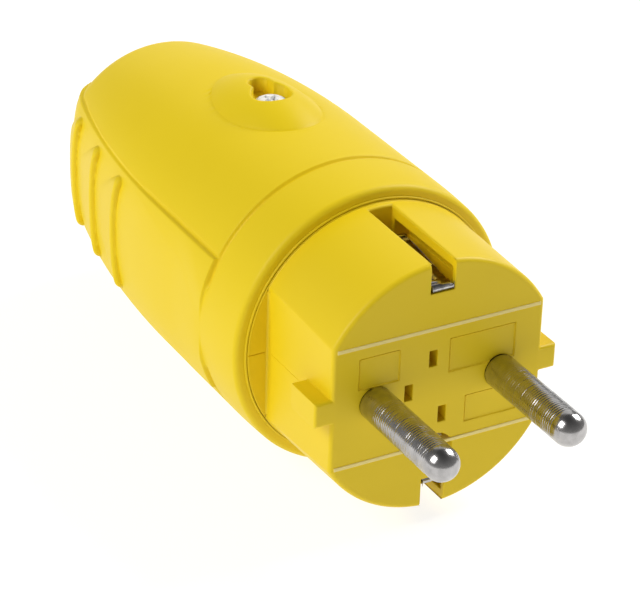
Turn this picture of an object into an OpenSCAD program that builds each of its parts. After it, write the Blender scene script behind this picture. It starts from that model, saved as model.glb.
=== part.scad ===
// Earthed mains plug: a round moulded insert with two pins and an earth contact above and below,
// held by one screw in a rubber hood with finger ridges.
// The pins point along -Y, +Z is up, and the origin is the middle of the plug's face.

/* [Face] */
// Radius of the plug's face
face_r = 18.4; // [17.8:0.1:22.4]
// Distance from the middle to each flat side
flat_x = 16; // [15:0.1:16.4]
// Length of the insert in front of the hood
nose_len = 17.4; // [14:0.1:21]
// How much the insert's radius grows over that length
nose_draft = 0.5; // [0.2:0.1:1]
// Rounding of the face's edge
face_edge = 0.6; // [0.3:0.1:1]
// Reach of the guide ribs from the middle
guide_x = 18; // [16.5:0.1:18.2]
// Half the height of a guide rib
guide_half = 1.8; // [1.2:0.1:2.4]
// Length of a guide rib
guide_len = 6.5; // [4:0.5:12]
// Height of the two raised lines across the face, above and below the middle
line_z = 8.76; // [7.5:0.02:9.2]
// Width of a raised line
line_w = 0.5; // [0.3:0.1:0.8]
// How far a raised line stands out
line_proud = 0.15; // [0.1:0.05:0.3]

/* [Pins] */
// Distance between the two pins
pin_pitch = 19; // [18:0.5:20.5]
// Radius of a pin
pin_r = 2.4; // [2:0.1:2.9]
// Length of a pin in front of the face
pin_len = 19; // [15:0.5:23]
// Radius of a pin inside the insert
shank_r = 2.2; // [1.8:0.1:2.6]
// Radius of the collar that holds a pin in the insert
pin_collar_r = 3.6; // [3.2:0.1:4]
// Thickness of that collar
pin_collar_t = 3; // [2:0.5:4]
// Radius of the stud behind the collar
stud_r = 1.8; // [1.4:0.1:2.2]

/* [Earth contact] */
// Width of the slots above and below the face
slot_w = 3.6; // [3:0.1:4.4]
// Depth of a slot below the round of the face
slot_depth = 4.4; // [3.5:0.1:5.2]
// Length of a slot
slot_len = 16.4; // [12:0.2:17]
// Width of the contact strip
strip_w = 3.2; // [2.4:0.1:3.4]
// Thickness of the contact strip
strip_t = 0.7; // [0.5:0.1:1]
// Rise of the spring contact from its tip to its crown
crown_h = 1.8; // [1.2:0.1:2.6]
// Width of the plate that joins the two contacts
bow_w = 8; // [6:0.5:9]

/* [Hood] */
// Distance from the face to the hood's rear end
hood_len = 88.9; // [86:0.1:110]
// Wall of the hood where it grips the insert
collar_wall = 1.9; // [1.5:0.1:2.6]
// How much the hood draws in towards its front edge
collar_drop = 0.8; // [0.4:0.1:1]
// Wall of the hood behind the insert
hood_wall = 3; // [2.6:0.1:3.6]
// Wall of the hood's flat sides
side_wall = 2.4; // [1.8:0.1:2.5]
// Distance from the face to where the hood begins to taper
taper_y = 47; // [40:0.5:55]
// Radius of the hood's top and bottom at the rear end, before rounding
rear_r = 14.6; // [12.5:0.1:17]
// Half width of the hood's sides at the rear end, before rounding
rear_half = 13.2; // [12:0.1:15]
// Rounding of the rear end, seen from the side
rear_round = 5.2; // [3:0.1:6]
// Rounding of the rear end, seen from above
side_round = 8.8; // [5:0.1:9]
// Length of the rubber that closes round the flex
inlet_len = 14; // [10:0.5:18]
// Radius of the hole for the flex
inlet_r = 5; // [3.5:0.1:6]
// Distance from the face to the groove behind the collar
groove_y = 27.2; // [25:0.1:30]
// Radius of the groove's section
groove_r = 0.55; // [0.3:0.05:0.8]

/* [Grip] */
// Half the height of the side pads
pad_half = 10; // [8:0.1:11.5]
// How far the pads stand out of the hood
pad_proud = 0.4; // [0.2:0.1:0.8]
// Number of ridges on each side
ridges = 3; // [1:1:3]
// Distance from one ridge to the next
ridge_pitch = 10.1; // [9:0.1:11]
// Distance of the last ridge from the rear end
ridge_back = 10.3; // [9:0.1:12]
// Height of a ridge
ridge_h = 0.8; // [0.4:0.1:1.2]
// Bow of a ridge, as the radius of its front edge
ridge_bow = 22; // [16:1:40]

/* [Hood screw] */
// Distance from the face to the screw
screw_y = 47.3; // [46:0.1:50]
// Radius of the screw's shank
screw_r = 2; // [1.5:0.1:2.4]
// Radius of the screw's head
head_r = 2.6; // [2.4:0.1:3.2]
// Height of the screw's head
head_h = 2.3; // [1.8:0.1:2.8]
// Depth of the head's seat below the hood's round
head_sink = 1.5; // [1.2:0.1:3.2]
// Half the length of the raised mound round the screw
mound_half_len = 10.2; // [8:0.1:12]
// Half the width of the mound
mound_half_w = 6.9; // [5.5:0.1:8]
// Height of the mound
mound_h = 2.3; // [1.4:0.1:2.8]
// Radius of the keyhole's slot
key_slot_r = 1.85; // [1.2:0.05:2.2]
// Length of the keyhole's slot behind the screw
key_slot_len = 3.9; // [3:0.1:6]

/* [Terminals] */
// Width of a terminal block
block_w = 7.2; // [6:0.1:7.6]
// Height of a terminal block
block_h = 8; // [7:0.1:9]
// Length of a terminal block
block_len = 10; // [9:0.1:11]
// Radius of the hole for a wire
wire_r = 1.7; // [1.4:0.1:2.1]
// Radius of a terminal screw
wire_screw_r = 1.5; // [1.2:0.1:1.8]
// Thickness of a wire guard
guard_t = 0.35; // [0.3:0.05:0.5]

/* [Flex clamp] */
// Radius of the flex that the clamp takes
flex_r = 4.5; // [3.5:0.1:5]
// Width of the clamp along the flex
clamp_w = 6.4; // [5:0.1:8]
// Distance from the middle to each clamp screw
clamp_x = 8.6; // [7.8:0.1:9.2]
// Radius of a clamp screw
clamp_screw_r = 1.45; // [1.2:0.05:1.7]
// Distance from the clamp to the rubber inlet
clamp_back = 11.4; // [9:0.1:14]

/* [Fits] */
// Gap between a round piece and its hole
fit = 0.05; // [0.02:0.01:0.1]
// Gap round a piece that lies in a pocket
slack = 0.2; // [0.1:0.05:0.4]
// Gap between the insert and the hood
seat_gap = 0.1; // [0.05:0.05:0.3]

/* [Hidden] */
$fn = 96;
wide_fn = 480;
over = 1;
yellow = "#e8cb2f";
nickel = "#b9b6ae";
brass = "#c9a24b";
zinc = "#c7cacc";
moulding = "#d8d4c6";

// Insert
flange_step = 0.1;
flange_len = 4.6;
seat_r = face_r + nose_draft + flange_step;
carrier_len = nose_len + flange_len;
disc_t = 4;
base_end = carrier_len + disc_t;
field_depth = 0.15;
core_slot = [1.2, 5, 2.4];
core_slot_places = [[-0.9, 4.35], [-4.45, 0.05], [0.85, -4.4]];
mark_fields = [[-12, 2.4, 6, 4.5], [1.6, 1.7, 10, 5], [4.4, -6.6, 8, 4]];

// Earth contact
slot_floor = face_r - slot_depth;
leg_z = slot_floor + strip_t / 2;
tip_y = 0.2;
tip_len = 1;
tip_rise = 0.25;
crown_back = 4;
slot_back_gap = 0.6;
plate_y = carrier_len - strip_t / 2;
earth_legs = [
    [tip_y, leg_z],
    [tip_y + tip_len, leg_z + tip_rise],
    [slot_len - crown_back, leg_z + crown_h],
    [slot_len - slot_back_gap, leg_z],
    [plate_y, leg_z]
];

// Hood
bore_r = seat_r + seat_gap;
hood_r = bore_r + collar_wall;
hood_back = 0.4;
hood_y = nose_len + hood_back;
collar_edge = 0.6;
groove_lead = 1.7;
collar_y = groove_y - groove_lead;
collar_rho = bow_radius(collar_y - hood_y, collar_drop);
side_y = 25;
barrel_rho = bow_radius(hood_len - taper_y, hood_r - rear_r);
side_rho = bow_radius(hood_len - side_y, hood_r - rear_half);
cavity_end = hood_len - inlet_len;
cavity_round = 4;
groove_gap = 3.7;
pad_y = groove_y + groove_r;
ridge_inset = 2.2;
ridge_half = pad_half - ridge_inset;
ridge_lap = 3;
ridge_ease = 0.4;
ridge_clear = 0.8;
ridge_tuck = 2;
lip_w = 0.35;
lip_proud = 0.25;
inlet_mouth = 1.2;
inlet_throat = 2.5;

// Hood screw
head_seat = hood_r - head_sink;
screw_land = 2.9;
post_top = head_seat - screw_land;
post_r = 5.2;
mound_shift = 1;
mound_y = screw_y + mound_shift;
mound_rx = 1 / (2 * (mound_h / pow(mound_half_w, 2) + 1 / (2 * hood_r)));
mound_ry = pow(mound_half_len, 2) / (2 * mound_h);
nut_wall = 1.5;
nut_flats = 2 * (screw_r + nut_wall);
nut_t = 3.2;
nut_z = 4;
screw_through = 2;
screw_tip = nut_z - screw_through;
tip_gap = 0.5;

// Face screw
face_screw_drop = 10;
face_screw_r = 1.5;
face_head_r = 2.5;
face_head_h = 2.2;
face_head_y = 1.2;
face_screw_reach = 5;
face_screw_tip = base_end + face_screw_reach;
thread_boss_r = 3.2;
thread_boss_end = 2;

// Terminals
block_end = base_end + block_len;
block_bottom = -block_h / 2;
stud_grip = 3.5;
stud_len = disc_t + stud_grip;
block_solid = 4;
wire_depth = block_len - block_solid;
wire_screw_back = 6.8;
wire_screw_y = base_end + wire_screw_back;
wire_screw_head_r = 2.3;
wire_screw_head_h = 1.8;
wire_screw_gap = 1.2;
guard_drop = 0.75;
guard_z = wire_r - guard_drop;
guard_half = sqrt(pow(wire_r - fit, 2) - pow(guard_z + guard_t, 2));
guard_tab = 2.2;
recess_w = 0.8;
recess_depth = 0.9;
recess_reach = 0.6;

// Base
floor_t = 4;
floor_bottom = block_bottom - floor_t;
fin_t = 1.4;
fin_rise = 0.5;
fin_top = block_h / 2 + fin_rise;
floor_half = pin_pitch / 2 + block_w / 2 + slack + fin_t;
floor_back = 2;
floor_start = base_end - over;
floor_len = block_end + floor_back - floor_start;
clamp_y = cavity_end - clamp_back;
tongue_edge = 3.2;
tongue_half = clamp_x + tongue_edge;
flex_gap = 2;
clamp_z = 0.5;
ear_t = 3;
arch_wall = 1.6;
clamp_post_r = 3;
clamp_head_r = 2.6;
clamp_head_h = 1.9;
clamp_blind = 1.5;
clamp_tip = floor_bottom + clamp_blind;

// Radius of an arc that falls by drop over a run, starting level
function bow_radius(run, drop) = (run * run + drop * drop) / (2 * drop);

// Unit normal of the line from point i of a list to the next
function line_normal(points, i) =
    let (step = points[i + 1] - points[i])
    [-step[1], step[0]] / norm(step);

// Mitred edge of a strip beside point i, at a distance from its middle line
function strip_edge(points, i, distance) =
    let (
        before = line_normal(points, max(i - 1, 0)),
        after = line_normal(points, min(i, len(points) - 2))
    )
    points[i] + distance * (before + after) / (1 + before * after);

// Half width of the hood's sides at a distance y from the face
function side_half(y) = hood_r - side_rho + sqrt(pow(side_rho, 2) - pow(y - side_y, 2));

// Radius of the hood's drawn-in front at a distance y from the face
function collar_half(y) = hood_r - collar_rho + sqrt(pow(collar_rho, 2) - pow(collar_y - y, 2));

// Turns a shape made along Z so that it runs along +Y
module along_y(y = 0) {
    translate([0, y, 0]) rotate([-90, 0, 0]) children();
}

// Turns a flat shape of (y, z) points so that it is extruded along X, about the middle
module across(width) {
    rotate([90, 0, 90]) linear_extrude(width, center = true) children();
}

// Half outline that runs straight to start, then bows in along a large arc to a rounded end
module bowed_half(r, start, rho, end, round) {
    corner_y = end - round;
    corner_r = r - rho + sqrt(pow(rho - round, 2) - pow(corner_y - start, 2));
    join_y = corner_y + round * (corner_y - start) / (rho - round);
    square([r, start]);
    intersection() {
        translate([r - rho, start]) circle(rho, $fn = wide_fn);
        translate([0, start]) square([r, join_y - start]);
    }
    square([corner_r, end]);
    translate([corner_r, corner_y]) circle(round);
}

// Round body of the hood, grown by a distance
module hood_round(grow = 0) {
    r = hood_r + grow;
    corner_r = collar_half(hood_y + collar_edge) + grow - collar_edge;
    along_y() rotate_extrude() difference() {
        union() {
            difference() {
                bowed_half(r, taper_y, barrel_rho + grow, hood_len, rear_round);
                square([r + over, collar_y]);
            }
            intersection() {
                translate([r - collar_rho, collar_y]) circle(collar_rho, $fn = wide_fn);
                translate([0, hood_y]) square([r, collar_y - hood_y]);
            }
        }
        difference() {
            translate([corner_r, hood_y - over]) square([2 * collar_edge, over + collar_edge]);
            translate([corner_r, hood_y + collar_edge]) circle(collar_edge);
        }
    }
}

// Outline of the hood's sides, seen from above
module hood_plan(grow = 0) {
    for (side = [0, 1]) {
        mirror([side, 0]) bowed_half(hood_r + grow, side_y, side_rho + grow, hood_len, side_round);
    }
}

// Material between the side creases that lies outside the side outline
module side_relief() {
    linear_extrude(2 * pad_half, center = true) difference() {
        translate([-2 * hood_r, hood_y]) square([4 * hood_r, hood_len]);
        hood_plan();
    }
}

// Groove behind the collar, which runs out at the sides
module collar_groove() {
    difference() {
        along_y(groove_y) rotate_extrude() translate([hood_r, 0]) circle(groove_r, $fn = 32);
        cube([3 * hood_r, 3 * groove_y, 2 * groove_gap], center = true);
    }
}

// Side pads, which stand a little out of the hood between the creases
module side_pads() {
    intersection() {
        hood_round(pad_proud);
        translate([0, 0, -pad_half]) linear_extrude(2 * pad_half) intersection() {
            hood_plan();
            translate([-2 * hood_r, pad_y]) square([4 * hood_r, hood_len]);
        }
    }
}

// Section of a ridge seen from above: a crest that falls to the rear and dips under the side
module ridge_section(y) {
    rear_y = y + ridge_pitch + ridge_lap;
    fall = side_half(y) - side_half(rear_y) + 2 * ridge_h;
    slope = fall / (rear_y - y);
    front_y = y - ridge_pitch / 2;
    crest = side_half(y) + ridge_h;
    foot = side_half(rear_y) - side_wall;
    polygon([
        [foot, front_y],
        [crest + slope * (y - front_y), front_y],
        [crest - fall, rear_y],
        [foot, rear_y]
    ]);
}

// Round cutter that gives a ridge its bowed front, flared to ease the crest
module ridge_front(crest) {
    flare = ridge_bow + 2 * ridge_ease;
    rotate([0, 90, 0]) rotate_extrude() polygon([
        [0, 0],
        [ridge_bow, 0],
        [ridge_bow, crest - ridge_ease],
        [flare, crest + ridge_ease],
        [flare, crest + 4 * ridge_h],
        [0, crest + 4 * ridge_h]
    ]);
}

// Finger ridges on both sides, bowed towards the rear
module finger_ridges() {
    for (side = [0, 1], i = [0 : ridges - 1]) {
        y = hood_len - ridge_back - i * ridge_pitch;
        mirror([side, 0, 0]) difference() {
            linear_extrude(2 * ridge_half, center = true) intersection() {
                ridge_section(y);
                translate([0, -ridge_tuck]) hood_plan(ridge_h + ridge_clear);
            }
            translate([0, y - ridge_bow, 0]) ridge_front(side_half(y) + ridge_h);
        }
    }
}

// Raised mound round the screw
module mound() {
    intersection() {
        translate([0, mound_y, hood_r + mound_h - mound_ry]) rotate([0, 90, 0])
            rotate_extrude() translate([mound_ry - mound_rx, 0]) circle(mound_rx);
        translate([-hood_r / 2, mound_y - 2 * mound_half_len, hood_r - hood_wall])
            cube([hood_r, 4 * mound_half_len, 2 * hood_wall + mound_h]);
    }
}

// Keyhole and hole for the hood's screw
module screw_way() {
    key_r = head_r + slack;
    translate([0, screw_y, head_seat]) {
        cylinder(r = key_r, h = hood_r);
        translate([0, key_slot_len, 0]) cylinder(r = key_slot_r, h = hood_r);
        translate([-key_slot_r, 0, 0]) cube([2 * key_slot_r, key_slot_len, hood_r]);
    }
    cylinder_at_screw(screw_r + slack, post_top - over, head_seat + over);
}

module cylinder_at_screw(r, z_low, z_high) {
    translate([0, screw_y, z_low]) cylinder(r = r, h = z_high - z_low);
}

// Hollow of the hood: the insert's seat, the room behind it and the way in for the flex
module hood_hollow() {
    along_y(hood_y - over) cylinder(r = bore_r, h = base_end + seat_gap - hood_y + over);
    difference() {
        intersection() {
            along_y() rotate_extrude()
                bowed_half(hood_r - hood_wall, taper_y, barrel_rho - hood_wall, cavity_end, cavity_round);
            linear_extrude(4 * hood_r, center = true) hood_plan(-side_wall);
        }
        cylinder_at_screw(post_r, post_top, 2 * hood_r);
    }
    along_y(cavity_end - over) cylinder(r = inlet_r, h = inlet_len + 2 * over);
    along_y(cavity_end - over)
        cylinder(r1 = inlet_r + inlet_throat + over, r2 = inlet_r, h = inlet_throat + over);
    along_y(hood_len - inlet_mouth)
        cylinder(r1 = inlet_r, r2 = inlet_r + 2 * inlet_mouth, h = 2 * inlet_mouth);
}

module rubber_hood() {
    color(yellow) difference() {
        union() {
            difference() {
                hood_round();
                side_relief();
                collar_groove();
            }
            side_pads();
            finger_ridges();
            mound();
            along_y(hood_y - lip_proud) cylinder(r = bore_r + lip_w, h = 2 * lip_proud);
        }
        hood_hollow();
        screw_way();
    }
}

// Front block of the insert: round with a slight draft, cut flat on both sides
module nose() {
    intersection() {
        along_y() rotate_extrude() {
            polygon([
                [0, 0],
                [face_r - face_edge, 0],
                [face_r, face_edge],
                [face_r + nose_draft, nose_len],
                [0, nose_len]
            ]);
            translate([face_r - face_edge, face_edge]) circle(face_edge, $fn = 32);
        }
        linear_extrude(4 * face_r, center = true) front_block(flat_x, nose_len);
    }
    linear_extrude(2 * guide_half, center = true) front_block(guide_x, guide_len);
}

// Block outline seen from above, with its two front corners rounded
module front_block(half, length) {
    translate([-half, face_edge]) square([2 * half, length - face_edge]);
    translate([face_edge - half, 0]) square([2 * (half - face_edge), length]);
    for (side = [-1, 1]) {
        translate([side * (half - face_edge), face_edge]) circle(face_edge, $fn = 32);
    }
}

// The two thin lines that stand out across the face
module face_lines() {
    for (side = [-1, 1]) {
        translate([face_edge - flat_x, -line_proud, side * line_z - line_w / 2])
            cube([2 * (flat_x - face_edge), line_proud + over, line_w]);
    }
}

// Slots above and below, with the covered channel for the contact strip behind them
module earth_slots() {
    for (side = [0, 1]) {
        mirror([0, 0, side]) {
            translate([-slot_w / 2, -over, slot_floor])
                cube([slot_w, slot_len + over, 2 * slot_depth]);
            translate([-slot_w / 2, 0, slot_floor])
                cube([slot_w, carrier_len + over, strip_t + slack]);
        }
    }
    translate([-bow_w / 2 - slack, carrier_len - strip_t, -slot_floor - strip_t - slack])
        cube([bow_w + 2 * slack, strip_t + over, 2 * (slot_floor + strip_t + slack)]);
}

// Bare shallow fields and core slots in the face
module face_marks() {
    for (f = mark_fields) {
        translate([f[0], -over, f[1]]) cube([f[2], over + field_depth, f[3]]);
    }
    for (place = core_slot_places) {
        translate([place[0] - core_slot[0] / 2, -over, place[1] - core_slot[2] / 2])
            cube([core_slot[0], core_slot[1] + over, core_slot[2]]);
    }
}

module contact_carrier() {
    color(yellow) difference() {
        union() {
            nose();
            along_y(nose_len) cylinder(r = seat_r, h = flange_len);
            face_lines();
        }
        earth_slots();
        face_marks();
        for (side = [-1, 1]) {
            translate([side * pin_pitch / 2, 0, 0]) {
                along_y(-over) cylinder(r = shank_r + fit, h = carrier_len + 2 * over);
                along_y(carrier_len - pin_collar_t)
                    cylinder(r = pin_collar_r + fit, h = pin_collar_t + over);
            }
        }
        translate([0, 0, -face_screw_drop]) {
            along_y(-over) cylinder(r = face_head_r + slack, h = face_head_y + face_head_h + over);
            along_y(-over) cylinder(r = face_screw_r + fit, h = carrier_len + 2 * over);
        }
    }
}

module terminal_base() {
    color(moulding) difference() {
        union() {
            along_y(carrier_len) cylinder(r = seat_r - seat_gap, h = disc_t);
            translate([-floor_half, floor_start, floor_bottom])
                cube([2 * floor_half, floor_len, floor_t]);
            translate([-tongue_half, floor_start, floor_bottom])
                cube([2 * tongue_half, clamp_y + clamp_w - base_end, floor_t]);
            for (x = [fin_t / 2 - floor_half, -pin_pitch / 4, pin_pitch / 4, floor_half - fin_t / 2]) {
                translate([x - fin_t / 2, floor_start, floor_bottom])
                    cube([fin_t, floor_len, fin_top - floor_bottom]);
            }
            translate([-floor_half, block_end + slack, floor_bottom])
                cube([2 * floor_half, fin_t, floor_t + fin_t]);
            cylinder_at_screw(post_r, floor_bottom, post_top);
            for (side = [-1, 1]) {
                translate([side * clamp_x, clamp_y, floor_bottom])
                    cylinder(r = clamp_post_r, h = clamp_z - floor_bottom);
            }
            translate([0, 0, -face_screw_drop]) along_y(floor_start)
                cylinder(r = thread_boss_r, h = face_screw_tip + thread_boss_end - base_end);
        }
        for (side = [-1, 1]) {
            translate([side * pin_pitch / 2, 0, 0]) along_y(carrier_len - over)
                cylinder(r = stud_r + fit, h = disc_t + 2 * over);
            translate([side * clamp_x, clamp_y, clamp_tip - tip_gap])
                cylinder(r = clamp_screw_r + fit, h = clamp_z - clamp_tip + 2 * over);
        }
        along_y(carrier_len - over) cylinder(r = stud_r + fit, h = disc_t + 2 * over);
        translate([0, 0, -face_screw_drop]) along_y(carrier_len - over)
            cylinder(r = face_screw_r + fit, h = face_screw_tip + tip_gap + over - carrier_len);
        along_y(screw_y + post_r + flex_gap) cylinder(r = flex_r, h = hood_len);
        cylinder_at_screw(screw_r + slack, screw_tip - over, post_top + over);
        translate([-nut_flats / 2 - slack / 2, screw_y, nut_z])
            cube([nut_flats + slack, 2 * post_r, nut_t + slack / 2]);
        translate([0, screw_y, nut_z])
            cylinder(r = (nut_flats + slack) / sqrt(3), h = nut_t + slack / 2, $fn = 6);
    }
}

// Turned pin with a round tip, a collar that the insert traps and a stud for its terminal
module pin(x) {
    ball_y = pin_r - pin_len;
    color(nickel) translate([x, 0, 0]) {
        along_y(ball_y) {
            cylinder(r = pin_r, h = -ball_y);
            sphere(r = pin_r);
        }
        along_y(-over) cylinder(r = shank_r, h = carrier_len + over - pin_collar_t / 2);
        along_y(carrier_len - pin_collar_t) cylinder(r = pin_collar_r, h = pin_collar_t);
        along_y(carrier_len - over) cylinder(r = stud_r, h = stud_len + over);
    }
}

module pin_left() {
    pin(-pin_pitch / 2);
}

module pin_right() {
    pin(pin_pitch / 2);
}

// One folded strip: a spring contact in each slot, joined by a plate across the insert's back
module earth_bow() {
    plate_half = leg_z + strip_t / 2;
    color(nickel) difference() {
        union() {
            for (side = [0, 1]) {
                mirror([0, 0, side]) across(strip_w) bent_strip(earth_legs);
            }
            translate([-bow_w / 2, plate_y - strip_t / 2, -plate_half])
                cube([bow_w, strip_t, 2 * plate_half]);
        }
        translate([0, plate_y, -face_screw_drop]) rotate([90, 0, 0])
            cylinder(r = face_screw_r + slack, h = 4 * strip_t, center = true);
    }
}

// Side view of a strip of even thickness, folded along a line of points
module bent_strip(points) {
    last = len(points) - 1;
    polygon(concat(
        [for (i = [0 : last]) strip_edge(points, i, strip_t / 2)],
        [for (i = [last : -1 : 0]) strip_edge(points, i, -strip_t / 2)]
    ));
}

// Brass block with a hole for the wire behind and one for the screw above
module terminal_block() {
    difference() {
        translate([-block_w / 2, base_end, block_bottom]) cube([block_w, block_len, block_h]);
        along_y(block_end - wire_depth) cylinder(r = wire_r, h = wire_depth + over);
        translate([0, wire_screw_y, 0]) cylinder(r = wire_screw_r + fit, h = block_h);
    }
}

// Block that is riveted on a pin's stud
module pin_terminal(x) {
    color(brass) translate([x, 0, 0]) difference() {
        terminal_block();
        along_y(base_end - over) cylinder(r = stud_r + fit, h = stud_grip + over + fit);
    }
}

module terminal_left() {
    pin_terminal(-pin_pitch / 2);
}

module terminal_right() {
    pin_terminal(pin_pitch / 2);
}

// Earth block, whose own stud reaches through the base to the bow's plate
module earth_terminal() {
    color(brass) {
        terminal_block();
        along_y(carrier_len) cylinder(r = stud_r, h = disc_t + over);
    }
}

// Leaf between a terminal screw and its wire, turned up behind the block
module wire_guard(x) {
    leaf_y = block_end - wire_depth + slack;
    color(zinc) translate([x - guard_half, 0, guard_z]) {
        translate([0, leaf_y, 0]) cube([2 * guard_half, block_end + guard_t - leaf_y, guard_t]);
        translate([0, block_end, 0]) cube([2 * guard_half, guard_t, guard_tab]);
    }
}

module wire_guard_left() {
    wire_guard(-pin_pitch / 2);
}

module wire_guard_right() {
    wire_guard(pin_pitch / 2);
}

module wire_guard_earth() {
    wire_guard(0);
}

// Screw along Z with its tip at the origin, a round head and a cross recess
module cross_screw(shank, length, head, height) {
    difference() {
        union() {
            cylinder(r = shank, h = length + height / 2);
            translate([0, 0, length]) cylinder(r = head, h = height);
        }
        for (turn = [0, 90]) {
            rotate(turn)
                translate([-head * recess_reach, -recess_w / 2, length + height - recess_depth])
                cube([2 * head * recess_reach, recess_w, recess_depth + over]);
        }
    }
}

module terminal_screw(x) {
    tip_z = guard_z + guard_t;
    length = block_h / 2 + wire_screw_gap - tip_z;
    color(zinc) translate([x, wire_screw_y, tip_z])
        cross_screw(wire_screw_r, length, wire_screw_head_r, wire_screw_head_h);
}

module terminal_screw_left() {
    terminal_screw(-pin_pitch / 2);
}

module terminal_screw_right() {
    terminal_screw(pin_pitch / 2);
}

module earth_screw() {
    terminal_screw(0);
}

// Screw behind the face that holds the insert's two mouldings together
module face_screw() {
    length = face_screw_tip - face_head_y - face_head_h;
    color(zinc) translate([0, face_screw_tip, -face_screw_drop]) rotate([90, 0, 0])
        cross_screw(face_screw_r, length, face_head_r, face_head_h);
}

// Arched bar that presses the flex on the base
module flex_clamp() {
    arch_r = flex_r + arch_wall;
    color(moulding) difference() {
        union() {
            intersection() {
                along_y(clamp_y - clamp_w / 2) cylinder(r = arch_r, h = clamp_w);
                translate([-arch_r, 0, clamp_z]) cube([2 * arch_r, hood_len, arch_r]);
            }
            translate([-tongue_half, clamp_y - clamp_w / 2, clamp_z])
                cube([2 * tongue_half, clamp_w, ear_t]);
        }
        along_y() cylinder(r = flex_r, h = hood_len);
        for (side = [-1, 1]) {
            translate([side * clamp_x, clamp_y, 0])
                cylinder(r = clamp_screw_r + slack, h = clamp_z + ear_t + over);
        }
    }
}

module clamp_screw(side) {
    color(zinc) translate([side * clamp_x, clamp_y, clamp_tip])
        cross_screw(clamp_screw_r, clamp_z + ear_t - clamp_tip, clamp_head_r, clamp_head_h);
}

module clamp_screw_left() {
    clamp_screw(-1);
}

module clamp_screw_right() {
    clamp_screw(1);
}

module hood_screw() {
    color(zinc) translate([0, screw_y, screw_tip])
        cross_screw(screw_r, head_seat - screw_tip, head_r, head_h);
}

module hood_nut() {
    color(zinc) difference() {
        translate([0, screw_y, nut_z]) cylinder(r = nut_flats / sqrt(3), h = nut_t, $fn = 6);
        cylinder_at_screw(screw_r + fit, nut_z - over, nut_z + nut_t + over);
    }
}

rubber_hood();
contact_carrier();
terminal_base();
pin_left();
pin_right();
earth_bow();
terminal_left();
terminal_right();
earth_terminal();
wire_guard_left();
wire_guard_right();
wire_guard_earth();
terminal_screw_left();
terminal_screw_right();
earth_screw();
face_screw();
flex_clamp();
clamp_screw_left();
clamp_screw_right();
hood_screw();
hood_nut();
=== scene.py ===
"""Earthed mains plug with a yellow rubber hood, modelled round its packed frame.

Lengths in the settings are metres. Pieces are modelled in millimetres and then set to metres.
"""

import math
from types import SimpleNamespace

import bmesh
import bpy
import numpy as np
from mathutils import Matrix, Vector


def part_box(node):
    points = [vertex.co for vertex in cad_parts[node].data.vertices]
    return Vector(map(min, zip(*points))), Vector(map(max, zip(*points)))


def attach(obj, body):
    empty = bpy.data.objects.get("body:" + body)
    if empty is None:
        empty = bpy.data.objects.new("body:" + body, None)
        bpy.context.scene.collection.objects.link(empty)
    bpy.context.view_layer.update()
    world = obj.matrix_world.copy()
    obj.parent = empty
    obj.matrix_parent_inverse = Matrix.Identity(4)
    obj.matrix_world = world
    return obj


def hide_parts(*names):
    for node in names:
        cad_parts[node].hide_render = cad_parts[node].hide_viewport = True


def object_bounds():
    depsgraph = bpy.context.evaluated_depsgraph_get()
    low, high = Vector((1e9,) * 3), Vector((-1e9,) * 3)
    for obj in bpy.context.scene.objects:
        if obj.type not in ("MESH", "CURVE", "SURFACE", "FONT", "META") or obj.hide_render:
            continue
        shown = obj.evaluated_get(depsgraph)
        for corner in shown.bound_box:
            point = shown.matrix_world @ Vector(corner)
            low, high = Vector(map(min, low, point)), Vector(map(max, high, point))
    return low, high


bl_info = {
    "name": "Rubber Hood Plug",
    "version": (1, 0, 0),
    "blender": (4, 5, 0),
    "location": "View3D > Sidebar > Plug",
    "description": "Models an earthed mains plug with a rubber hood",
    "category": "Add Mesh",
}

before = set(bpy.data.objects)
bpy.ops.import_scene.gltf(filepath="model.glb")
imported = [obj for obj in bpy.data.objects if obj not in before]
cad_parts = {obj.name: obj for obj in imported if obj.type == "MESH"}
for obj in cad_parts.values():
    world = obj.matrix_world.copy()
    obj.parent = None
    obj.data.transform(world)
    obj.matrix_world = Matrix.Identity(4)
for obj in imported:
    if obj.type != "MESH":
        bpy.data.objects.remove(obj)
CAD_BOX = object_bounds()
MM = 0.001
BODY = "root"


def node_box(node):
    """Lowest and highest corner of a CAD node in millimetres."""
    return tuple(Vector(round(value / MM, 3) for value in corner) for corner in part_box(node))


HOOD_LOW, HOOD_HIGH = node_box("rubber_hood")
INSERT_LOW, INSERT_HIGH = node_box("contact_carrier")
PIN_LOW, PIN_HIGH = node_box("pin_right")
BOW_LOW, BOW_HIGH = node_box("earth_bow")
HOOD_SCREW_LOW, HOOD_SCREW_HIGH = node_box("hood_screw")


def length(name, description, millimetres, least=0):
    """A length setting, given in millimetres and kept in metres."""
    return bpy.props.FloatProperty(
        name=name, description=description, default=millimetres * MM,
        min=least * MM, precision=5, unit="LENGTH", subtype="DISTANCE",
    )


def colour(name, description, red, green, blue):
    """A colour setting."""
    return bpy.props.FloatVectorProperty(
        name=name, description=description, default=(red, green, blue),
        min=0, max=1, size=3, subtype="COLOR",
    )


def degrees(name, description, value):
    """An angle setting, given in degrees."""
    return bpy.props.FloatProperty(
        name=name, description=description, default=math.radians(value), unit="ROTATION", subtype="ANGLE",
    )


def power(name, description, watts):
    """A setting for a light's power."""
    return bpy.props.FloatProperty(name=name, description=description, default=watts, min=0, unit="POWER")


def strength(name, description, value):
    """A setting for the strength of a glow."""
    return bpy.props.FloatProperty(name=name, description=description, default=value, min=0)


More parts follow.
